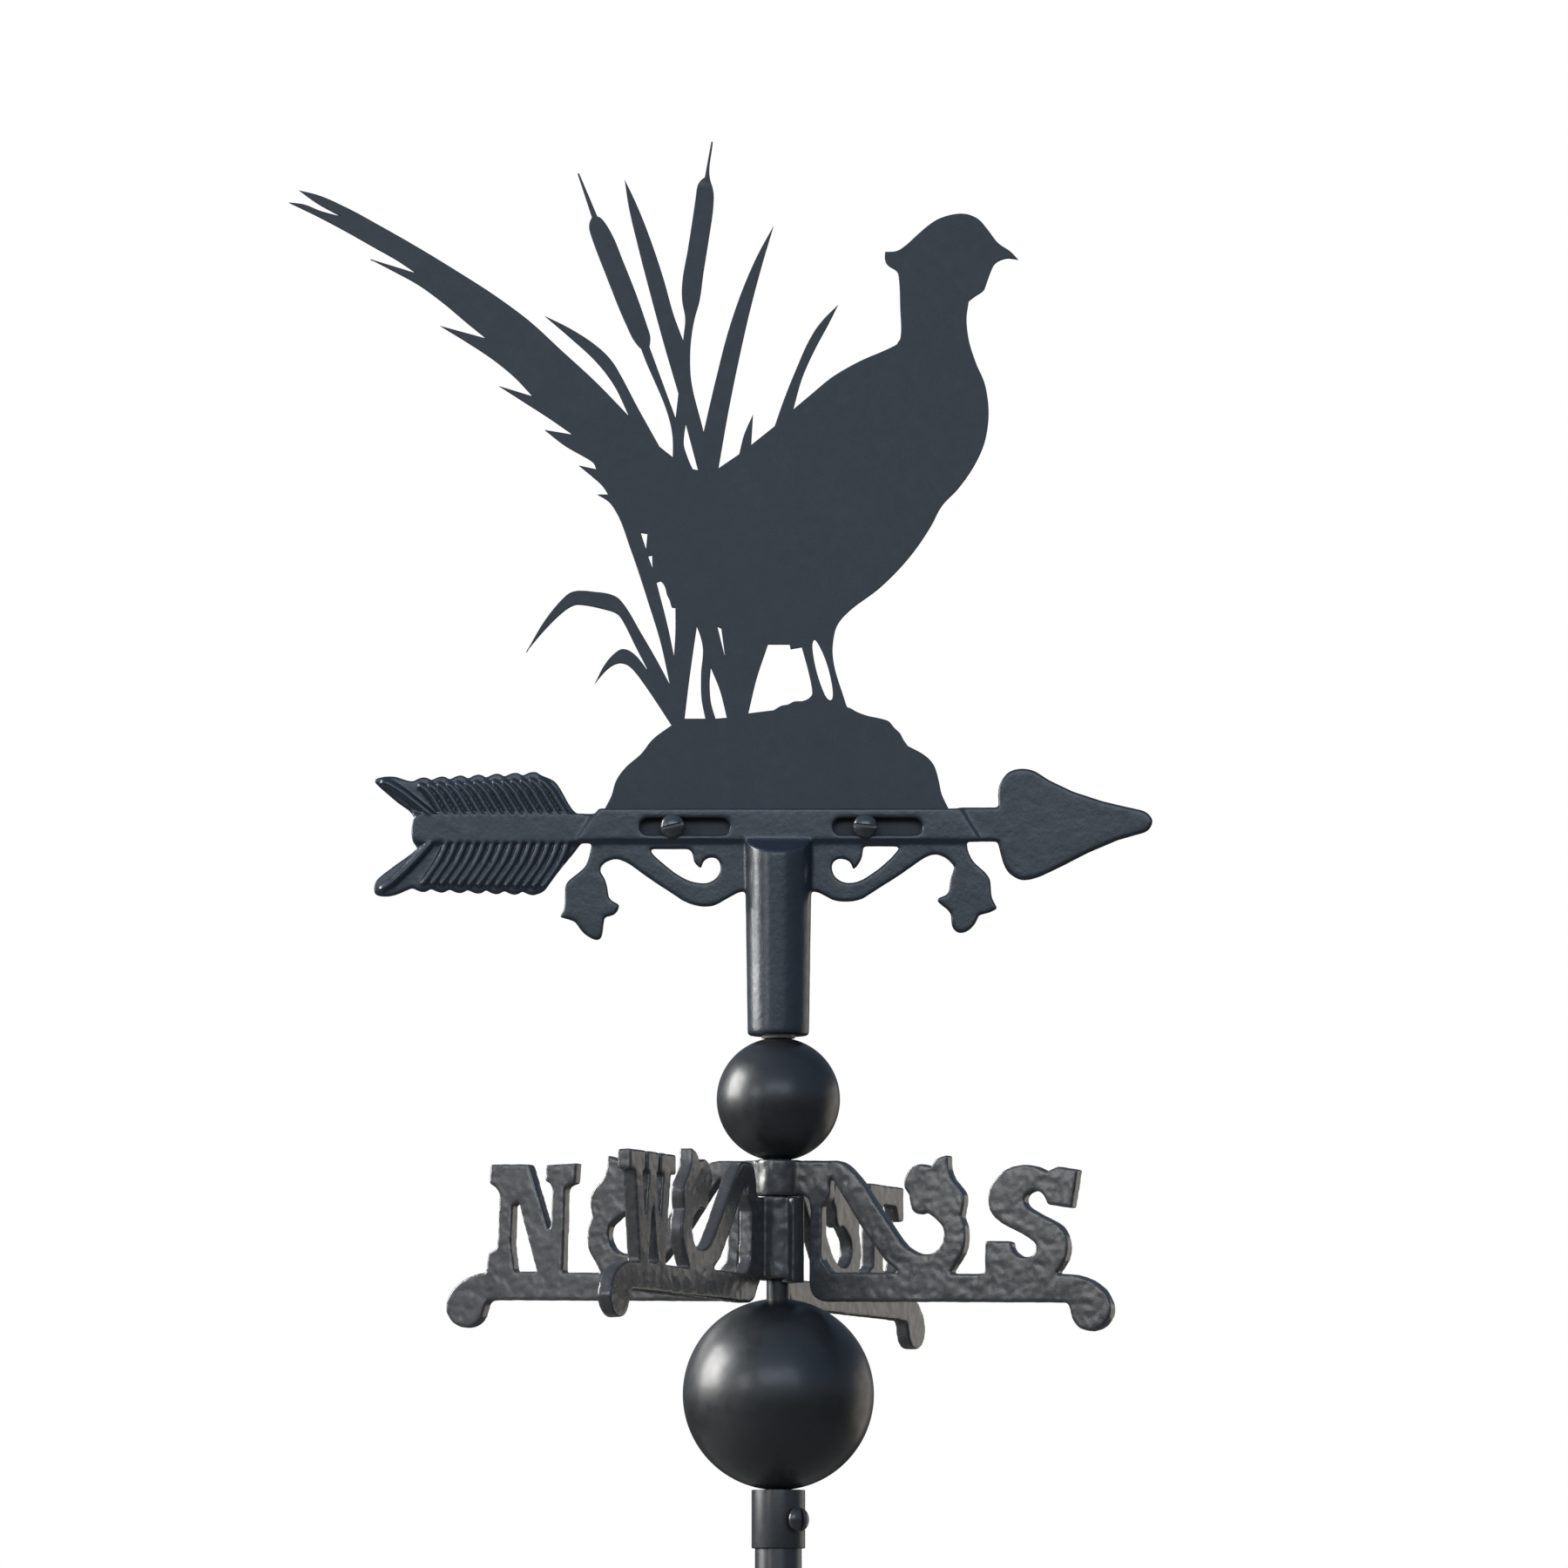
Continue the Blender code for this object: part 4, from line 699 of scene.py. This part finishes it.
def feather_rib_tree():
    """Ribs of one row: a tapered bar swept along the rib line, on both faces, then repeated."""
    tree = bpy.data.node_groups.new("feather_ribs", 'GeometryNodeTree')
    names = node_inputs(tree, (
        ("Rib Count", 'NodeSocketInt', 14), ("Rib Pitch", 'NodeSocketFloat', 4.9),
        ("Rib Radius", 'NodeSocketFloat', 1.7), ("Face Offset", 'NodeSocketFloat', 1.5),
        ("Height Step", 'NodeSocketFloat', 0.0), ("Coat", 'NodeSocketMaterial', None)))
    nodes, links = tree.nodes, tree.links

    def add(kind, **links_in):
        node = nodes.new(kind)
        for socket, source in links_in.items():
            key = socket.replace("_", " ")
            if isinstance(source, bpy.types.NodeSocket):
                links.new(source, node.inputs[key])
            else:
                node.inputs[key].default_value = source
        return node

    start = nodes.new("NodeGroupInput")
    end = nodes.new("NodeGroupOutput")
    line = add("GeometryNodeMeshToCurve", Mesh=start.outputs["Geometry"])
    fine = add("GeometryNodeResampleCurve", Curve=line.outputs[0], Count=RIB_POINTS)
    along = nodes.new("GeometryNodeSplineParameter")
    taper = nodes.new("ShaderNodeFloatCurve")
    points = taper.mapping.curves[0].points
    points[0].location, points[1].location = (0.0, RIB_TAPER[0]), (1.0, RIB_TAPER[-1])
    for at, share in RIB_TAPER[1:-1]:
        points.new(at, share)
    taper.mapping.update()
    links.new(along.outputs["Factor"], taper.inputs["Value"])
    ring = add("GeometryNodeCurvePrimitiveCircle", Resolution=RIB_SIDES,
               Radius=start.outputs["Rib Radius"])
    bar = add("GeometryNodeCurveToMesh", Curve=fine.outputs[0], Profile_Curve=ring.outputs[0],
              Scale=taper.outputs[0], Fill_Caps=True)
    across = nodes.new("ShaderNodeCombineXYZ")
    back = nodes.new("ShaderNodeMath")
    back.operation = 'MULTIPLY'
    back.inputs[1].default_value = -2.0
    links.new(start.outputs["Face Offset"], back.inputs[0])
    links.new(back.outputs[0], across.inputs["Y"])
    first = nodes.new("ShaderNodeCombineXYZ")
    links.new(start.outputs["Face Offset"], first.inputs["Y"])
    faces = add("GeometryNodeMeshLine", Count=2, Start_Location=first.outputs[0],
                Offset=across.outputs[0])
    pair = add("GeometryNodeInstanceOnPoints", Points=faces.outputs[0], Instance=bar.outputs[0])
    step = nodes.new("ShaderNodeCombineXYZ")
    along_x = nodes.new("ShaderNodeMath")
    along_x.operation = 'MULTIPLY'
    along_x.inputs[1].default_value = -1.0
    links.new(start.outputs["Rib Pitch"], along_x.inputs[0])
    links.new(along_x.outputs[0], step.inputs["X"])
    links.new(start.outputs["Height Step"], step.inputs["Z"])
    row = add("GeometryNodeMeshLine", Count=start.outputs["Rib Count"],
              Offset=step.outputs[0])
    ribs = add("GeometryNodeInstanceOnPoints", Points=row.outputs[0], Instance=pair.outputs[0])
    solid = add("GeometryNodeRealizeInstances", Geometry=ribs.outputs[0])
    coated = add("GeometryNodeSetMaterial", Geometry=solid.outputs[0],
                 Material=start.outputs["Coat"])
    links.new(coated.outputs[0], end.inputs[0])
    return tree, names


def row_of_ribs(line, **sizes):
    """Run the rib tree on one rib line and give back its bmesh."""
    bm = bmesh.new()
    verts = [bm.verts.new((x, 0, z)) for x, z in line]
    for a, b in zip(verts, verts[1:]):
        bm.edges.new((a, b))
    mesh = bpy.data.meshes.new("rib_line")
    bm.to_mesh(mesh)
    bm.free()
    holder = bpy.data.objects.new("rib_line", mesh)
    bpy.context.scene.collection.objects.link(holder)
    mod = holder.modifiers.new("ribs", 'NODES')
    mod.node_group = rib_tree
    values = {"Rib Count": RIB_COUNT, "Rib Pitch": RIB_PITCH, "Rib Radius": RIB_R,
              "Face Offset": RIB_SINK, "Height Step": 0.0, "Coat": arrow_coat}
    values.update({key.replace("_", " "): value for key, value in sizes.items()})
    for label, value in values.items():
        mod[rib_names[label]] = value
    result = bmesh.new()
    done = settle(holder)
    result.from_mesh(done)
    bpy.data.meshes.remove(done)
    return result


def pour(target, source):
    """Add a closed shape to another; the skin grown later makes them one."""
    mesh = bpy.data.meshes.new("pour")
    source.to_mesh(mesh)
    source.free()
    target.from_mesh(mesh)
    bpy.data.meshes.remove(mesh)


def prism(outline, y_low, y_high):
    """A flat (x, z) outline given a thickness between two values of y."""
    bm = bmesh.new()
    face = bm.faces.new([bm.verts.new((x, y_low, z)) for x, z in outline])
    grown = bmesh.ops.extrude_face_region(bm, geom=[face])
    bmesh.ops.translate(bm, vec=(0, y_high - y_low, 0),
                        verts=[v for v in grown["geom"] if isinstance(v, bmesh.types.BMVert)])
    bmesh.ops.recalc_face_normals(bm, faces=bm.faces[:])
    return bm


rib_tree, rib_names = feather_rib_tree()
arrow = merged_copy("arrow_casting")
shift(arrow, z=-BAR_Z)
for side in (-1, 1):          # thin the feather webs on both faces
    for outline in WEB_CUTS:
        reach = sorted((side * WEB_HALF, side * WEB_CUT_OUT))
        arrow = cut(arrow, prism(outline, *reach), "web")
body_mesh = tumbled("arrow_body", arrow, BODY_WEAR)
arrow = bmesh.new()
arrow.from_mesh(body_mesh)
bpy.data.meshes.remove(body_mesh)
pour(arrow, prism(SHAFT_STRIP, -SHAFT_HALF, SHAFT_HALF))
for row, rise in ROW_RISE:
    pour(arrow, row_of_ribs(RIB_LINES[row], Height_Step=rise))
    pour(arrow, row_of_ribs(TIP_LINES[row], Rib_Count=1, Rib_Radius=TIP_RIB_R))
shift(arrow, z=BAR_Z)
arrow_skin = cast_skin("arrow_skin", tumbled("arrow", arrow, SKIN_WEAR, SKIN_GRID), ARROW_ROUGH)
finish_mesh("arrow_skin", arrow_skin, arrow_coat, "vane", "casting_coat", "arrow_casting",
            crease=60)
natural_nylon = moulded_nylon("natural_turned_nylon", NATURAL_DEEP, NATURAL_PALE)
dress("lower_bearing_bush", natural_nylon)
dress("upper_bearing_bush", natural_nylon)


# ---------------------------------------------------------------------------
# The pheasant plate. Laser cut from 3 mm steel sheet, deburred, and powder coated a flat slate
# grey; it stands behind the bar, on two screws that pass through the bar's slots.
# ---------------------------------------------------------------------------
CORNER_TURN = 22.0            # degrees; sharper turns of the outline stay corners
CUT_STEP = 1.3                # millimetres between points along a cut edge
BURR, BURR_SHARE = 0.32, 0.3  # radius that deburring leaves, and its middle step's share of it
ON_FACE, CLOSEST = 0.01, 0.05    # off a flat face at most; between outline points at least
FOLDED, LEAST_LEAN = 0.2, 0.6    # where a corner folds back, and how far it may be pushed out
SLATE_COLOUR = (0.024, 0.032, 0.043)

slate_coat = powder_coat("flat_slate_plate_coat", SLATE_COLOUR, rough=0.54, peel_mm=1.1,
                         peel_depth=0.03, grain_depth=0.008, coat=0.0, clouds=0.04,
                         uneven=0.02)


def edge_loops(bm, side_y):
    """Closed outlines, as (x, z) points, of the flat face that lies at a given y."""
    faces = [f for f in bm.faces if all(abs(v.co.y - side_y) < ON_FACE for v in f.verts)]
    inside = set(faces)
    follow = {}
    for face in faces:
        for loop in face.loops:
            if sum(1 for f in loop.edge.link_faces if f in inside) == 1:
                follow[loop.vert] = loop.link_loop_next.vert
    loops = []
    while follow:
        start, here = follow.popitem()
        ring = [start]
        while here is not start:
            ring.append(here)
            here = follow.pop(here)
        loops.append([Vector((v.co.x, v.co.z)) for v in ring])
    return loops


def without_repeats(points):
    """An outline without points that all but touch the one before."""
    kept = []
    for p in points:
        if not kept or (p - kept[-1]).length > CLOSEST:
            kept.append(p)
    return kept


def fair(points):
    """Run smooth curves through the points, and keep the sharp corners."""
    n = len(points)
    legs = [points[(i + 1) % n] - points[i] for i in range(n)]
    corner = [math.degrees(legs[i - 1].angle(legs[i], 0.0)) > CORNER_TURN for i in range(n)]
    heading = []
    for i in range(n):
        a, b = legs[i - 1], legs[i]
        heading.append((a.normalized() / a.length + b.normalized() / b.length).normalized())
    out = []
    for i in range(n):
        j = (i + 1) % n
        length = legs[i].length
        ahead = legs[i].normalized()
        leave = (ahead if corner[i] else heading[i]) * length
        arrive = (ahead if corner[j] else heading[j]) * length
        steps = max(1, round(length / CUT_STEP))
        for k in range(steps):
            t = k / steps
            out.append(points[i] * (2 * t ** 3 - 3 * t ** 2 + 1) + leave * (t ** 3 - 2 * t ** 2 + t)
                       + points[j] * (3 * t ** 2 - 2 * t ** 3) + arrive * (t ** 3 - t ** 2))
    return out


def drawn_in(points, amount):
    """Move an outline into its material by an amount; material lies on its left."""
    out = []
    n = len(points)
    for i in range(n):
        a = (points[i] - points[i - 1]).normalized()
        b = (points[(i + 1) % n] - points[i]).normalized()
        side = Vector((-(a.y + b.y), a.x + b.x))
        if side.length < FOLDED:
            side = Vector((-a.y, a.x))
        side.normalize()
        lean = max(LEAST_LEAN, side.dot(Vector((-a.y, a.x))))
        out.append(points[i] + side * (amount / lean))
    return out


def cut_plate(loops, y_front, y_back):
    """Plate between two faces, with its cut edges rounded over by a quarter turn of steps."""
    bm = bmesh.new()
    rings_of = []
    step = BURR * BURR_SHARE
    for points in loops:
        rings = []
        for amount, y in ((BURR, y_front), (step, y_front + step), (0.0, y_front + BURR),
                          (0.0, y_back - BURR), (step, y_back - step), (BURR, y_back)):
            moved = drawn_in(points, amount) if amount else points
            rings.append([bm.verts.new((p.x, y, p.y)) for p in moved])
        for a, b in zip(rings, rings[1:]):
            for i in range(len(points)):
                j = (i + 1) % len(points)
                bm.faces.new((a[i], a[j], b[j], b[i]))
        rings_of.append((rings[0], rings[-1]))
    for end in (0, 1):
        edges = []
        for ends in rings_of:
            ring = ends[end]
            edges += [bm.edges.get((a, b)) for a, b in zip(ring, ring[1:] + ring[:1])]
        bmesh.ops.triangle_fill(bm, edges=edges, use_beauty=True)
    return bm


low, high = (Vector(c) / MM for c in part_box("pheasant_plate"))
source = merged_copy("pheasant_plate")
outlines = [fair(without_repeats(loop)) for loop in edge_loops(source, low.y)]
source.free()
finish_piece("pheasant_cut_plate", cut_plate(outlines, low.y, high.y), slate_coat, "motif",
             "slate_coat", "pheasant_plate", crease=20)


# ---------------------------------------------------------------------------
# Plate fixings. Two coated M6 slotted screws come through the bar's slots from the front; a
# plated washer and nut on each, behind the plate, let the plate be slid along and clamped.
# ---------------------------------------------------------------------------
FIXINGS = (("left", -56.7, 103.0), ("right", 46.5, 84.0))   # side, x, turn of the slot
SLOT_DROP = 1.0
FIXING_Z = BAR_Z - SLOT_DROP
HEAD_UNDER, SCREW_END = -4.3, 17.0
WASHER_AT, WASHER_THICK, WASHER_R, CLEAR_R = 7.6, 1.5, 7.0, 3.3
NUT_AT, NUT_THICK, NUT_SMALL = 9.4, 5.0, 10.0
THREAD_PITCH, THREAD_FROM, THREAD_DEPTH = 1.0, 7.6, 0.28
TIP_PLAIN, COIL_STEPS, RIDGE_SIDES = 0.2, 28, 6     # plain end of a screw; steps in a turn


def thread_tree():
    """Screw thread: a small ring swept up a spiral of a given length and pitch."""
    tree = bpy.data.node_groups.new("screw_thread", 'GeometryNodeTree')
    names = node_inputs(tree, (("Turns", 'NodeSocketFloat', 9.0),
                               ("Core Radius", 'NodeSocketFloat', 2.8),
                               ("Length", 'NodeSocketFloat', 9.0),
                               ("Ridge", 'NodeSocketFloat', 0.3),
                               ("Coat", 'NodeSocketMaterial', None)))
    nodes, links = tree.nodes, tree.links
    start, end = nodes.new("NodeGroupInput"), nodes.new("NodeGroupOutput")
    coil = nodes.new("GeometryNodeCurveSpiral")
    coil.inputs["Resolution"].default_value = COIL_STEPS
    ring = nodes.new("GeometryNodeCurvePrimitiveCircle")
    ring.inputs["Resolution"].default_value = RIDGE_SIDES
    sweep = nodes.new("GeometryNodeCurveToMesh")
    sweep.inputs["Fill Caps"].default_value = True
    solid = nodes.new("GeometryNodeRealizeInstances")
    coated = nodes.new("GeometryNodeSetMaterial")
    for source, sink in ((start.outputs["Turns"], coil.inputs["Rotations"]),
                         (start.outputs["Core Radius"], coil.inputs["Start Radius"]),
                         (start.outputs["Core Radius"], coil.inputs["End Radius"]),
                         (start.outputs["Length"], coil.inputs["Height"]),
                         (start.outputs["Ridge"], ring.inputs["Radius"]),
                         (coil.outputs[0], sweep.inputs["Curve"]),
                         (ring.outputs[0], sweep.inputs["Profile Curve"]),
                         (sweep.outputs[0], solid.inputs[0]),
                         (solid.outputs[0], coated.inputs["Geometry"]),
                         (start.outputs["Coat"], coated.inputs["Material"]),
                         (coated.outputs[0], end.inputs[0])):
        links.new(source, sink)
    return tree, names


def screw_thread(length):
    """Run the thread tree for a length and give back its bmesh."""
    holder = bpy.data.objects.new("thread", bpy.data.meshes.new("thread"))
    bpy.context.scene.collection.objects.link(holder)
    mod = holder.modifiers.new("thread", 'NODES')
    mod.node_group = thread_group
    for label, value in (("Turns", length / THREAD_PITCH), ("Length", length),
                         ("Core Radius", SCREW_SHANK_R - THREAD_DEPTH),
                         ("Ridge", THREAD_DEPTH), ("Coat", screw_coat)):
        mod[thread_names[label]] = value
    bm = bmesh.new()
    mesh = settle(holder)
    bm.from_mesh(mesh)
    bpy.data.meshes.remove(mesh)
    return bm


thread_group, thread_names = thread_tree()
for side, x, slot_turn in FIXINGS:
    screw = domed_screw(-SCREW_END, -HEAD_UNDER)
    pour(screw, shift(screw_thread(SCREW_END - THREAD_FROM), z=TIP_PLAIN - SCREW_END))
    screw = shift(turn(turn(screw, 'Z', slot_turn), 'X', 90), x=x, z=FIXING_Z)
    finish_piece("slot_screw_" + side, screw, screw_coat, "motif", "screw_coat",
                 "motif_screw_" + side)
    washer = turned([(CLEAR_R, WASHER_AT), (WASHER_R, WASHER_AT),
                     (WASHER_R, WASHER_AT + WASHER_THICK),
                     (CLEAR_R, WASHER_AT + WASHER_THICK)], sides=64, ease=0.2)
    washer = shift(turn(washer, 'X', -90), x=x, z=FIXING_Z)
    finish_piece("flat_washer_" + side, washer, zinc, "motif", "zinc_steel",
                 "motif_washer_" + side)
    nut = hexagon_nut(NUT_SMALL, CLEAR_R, NUT_AT, NUT_AT + NUT_THICK)
    nut = shift(turn(nut, 'X', -90), x=x, z=FIXING_Z)
    finish_piece("hexagon_nut_" + side, nut, zinc, "motif", "zinc_steel",
                 "motif_nut_" + side)
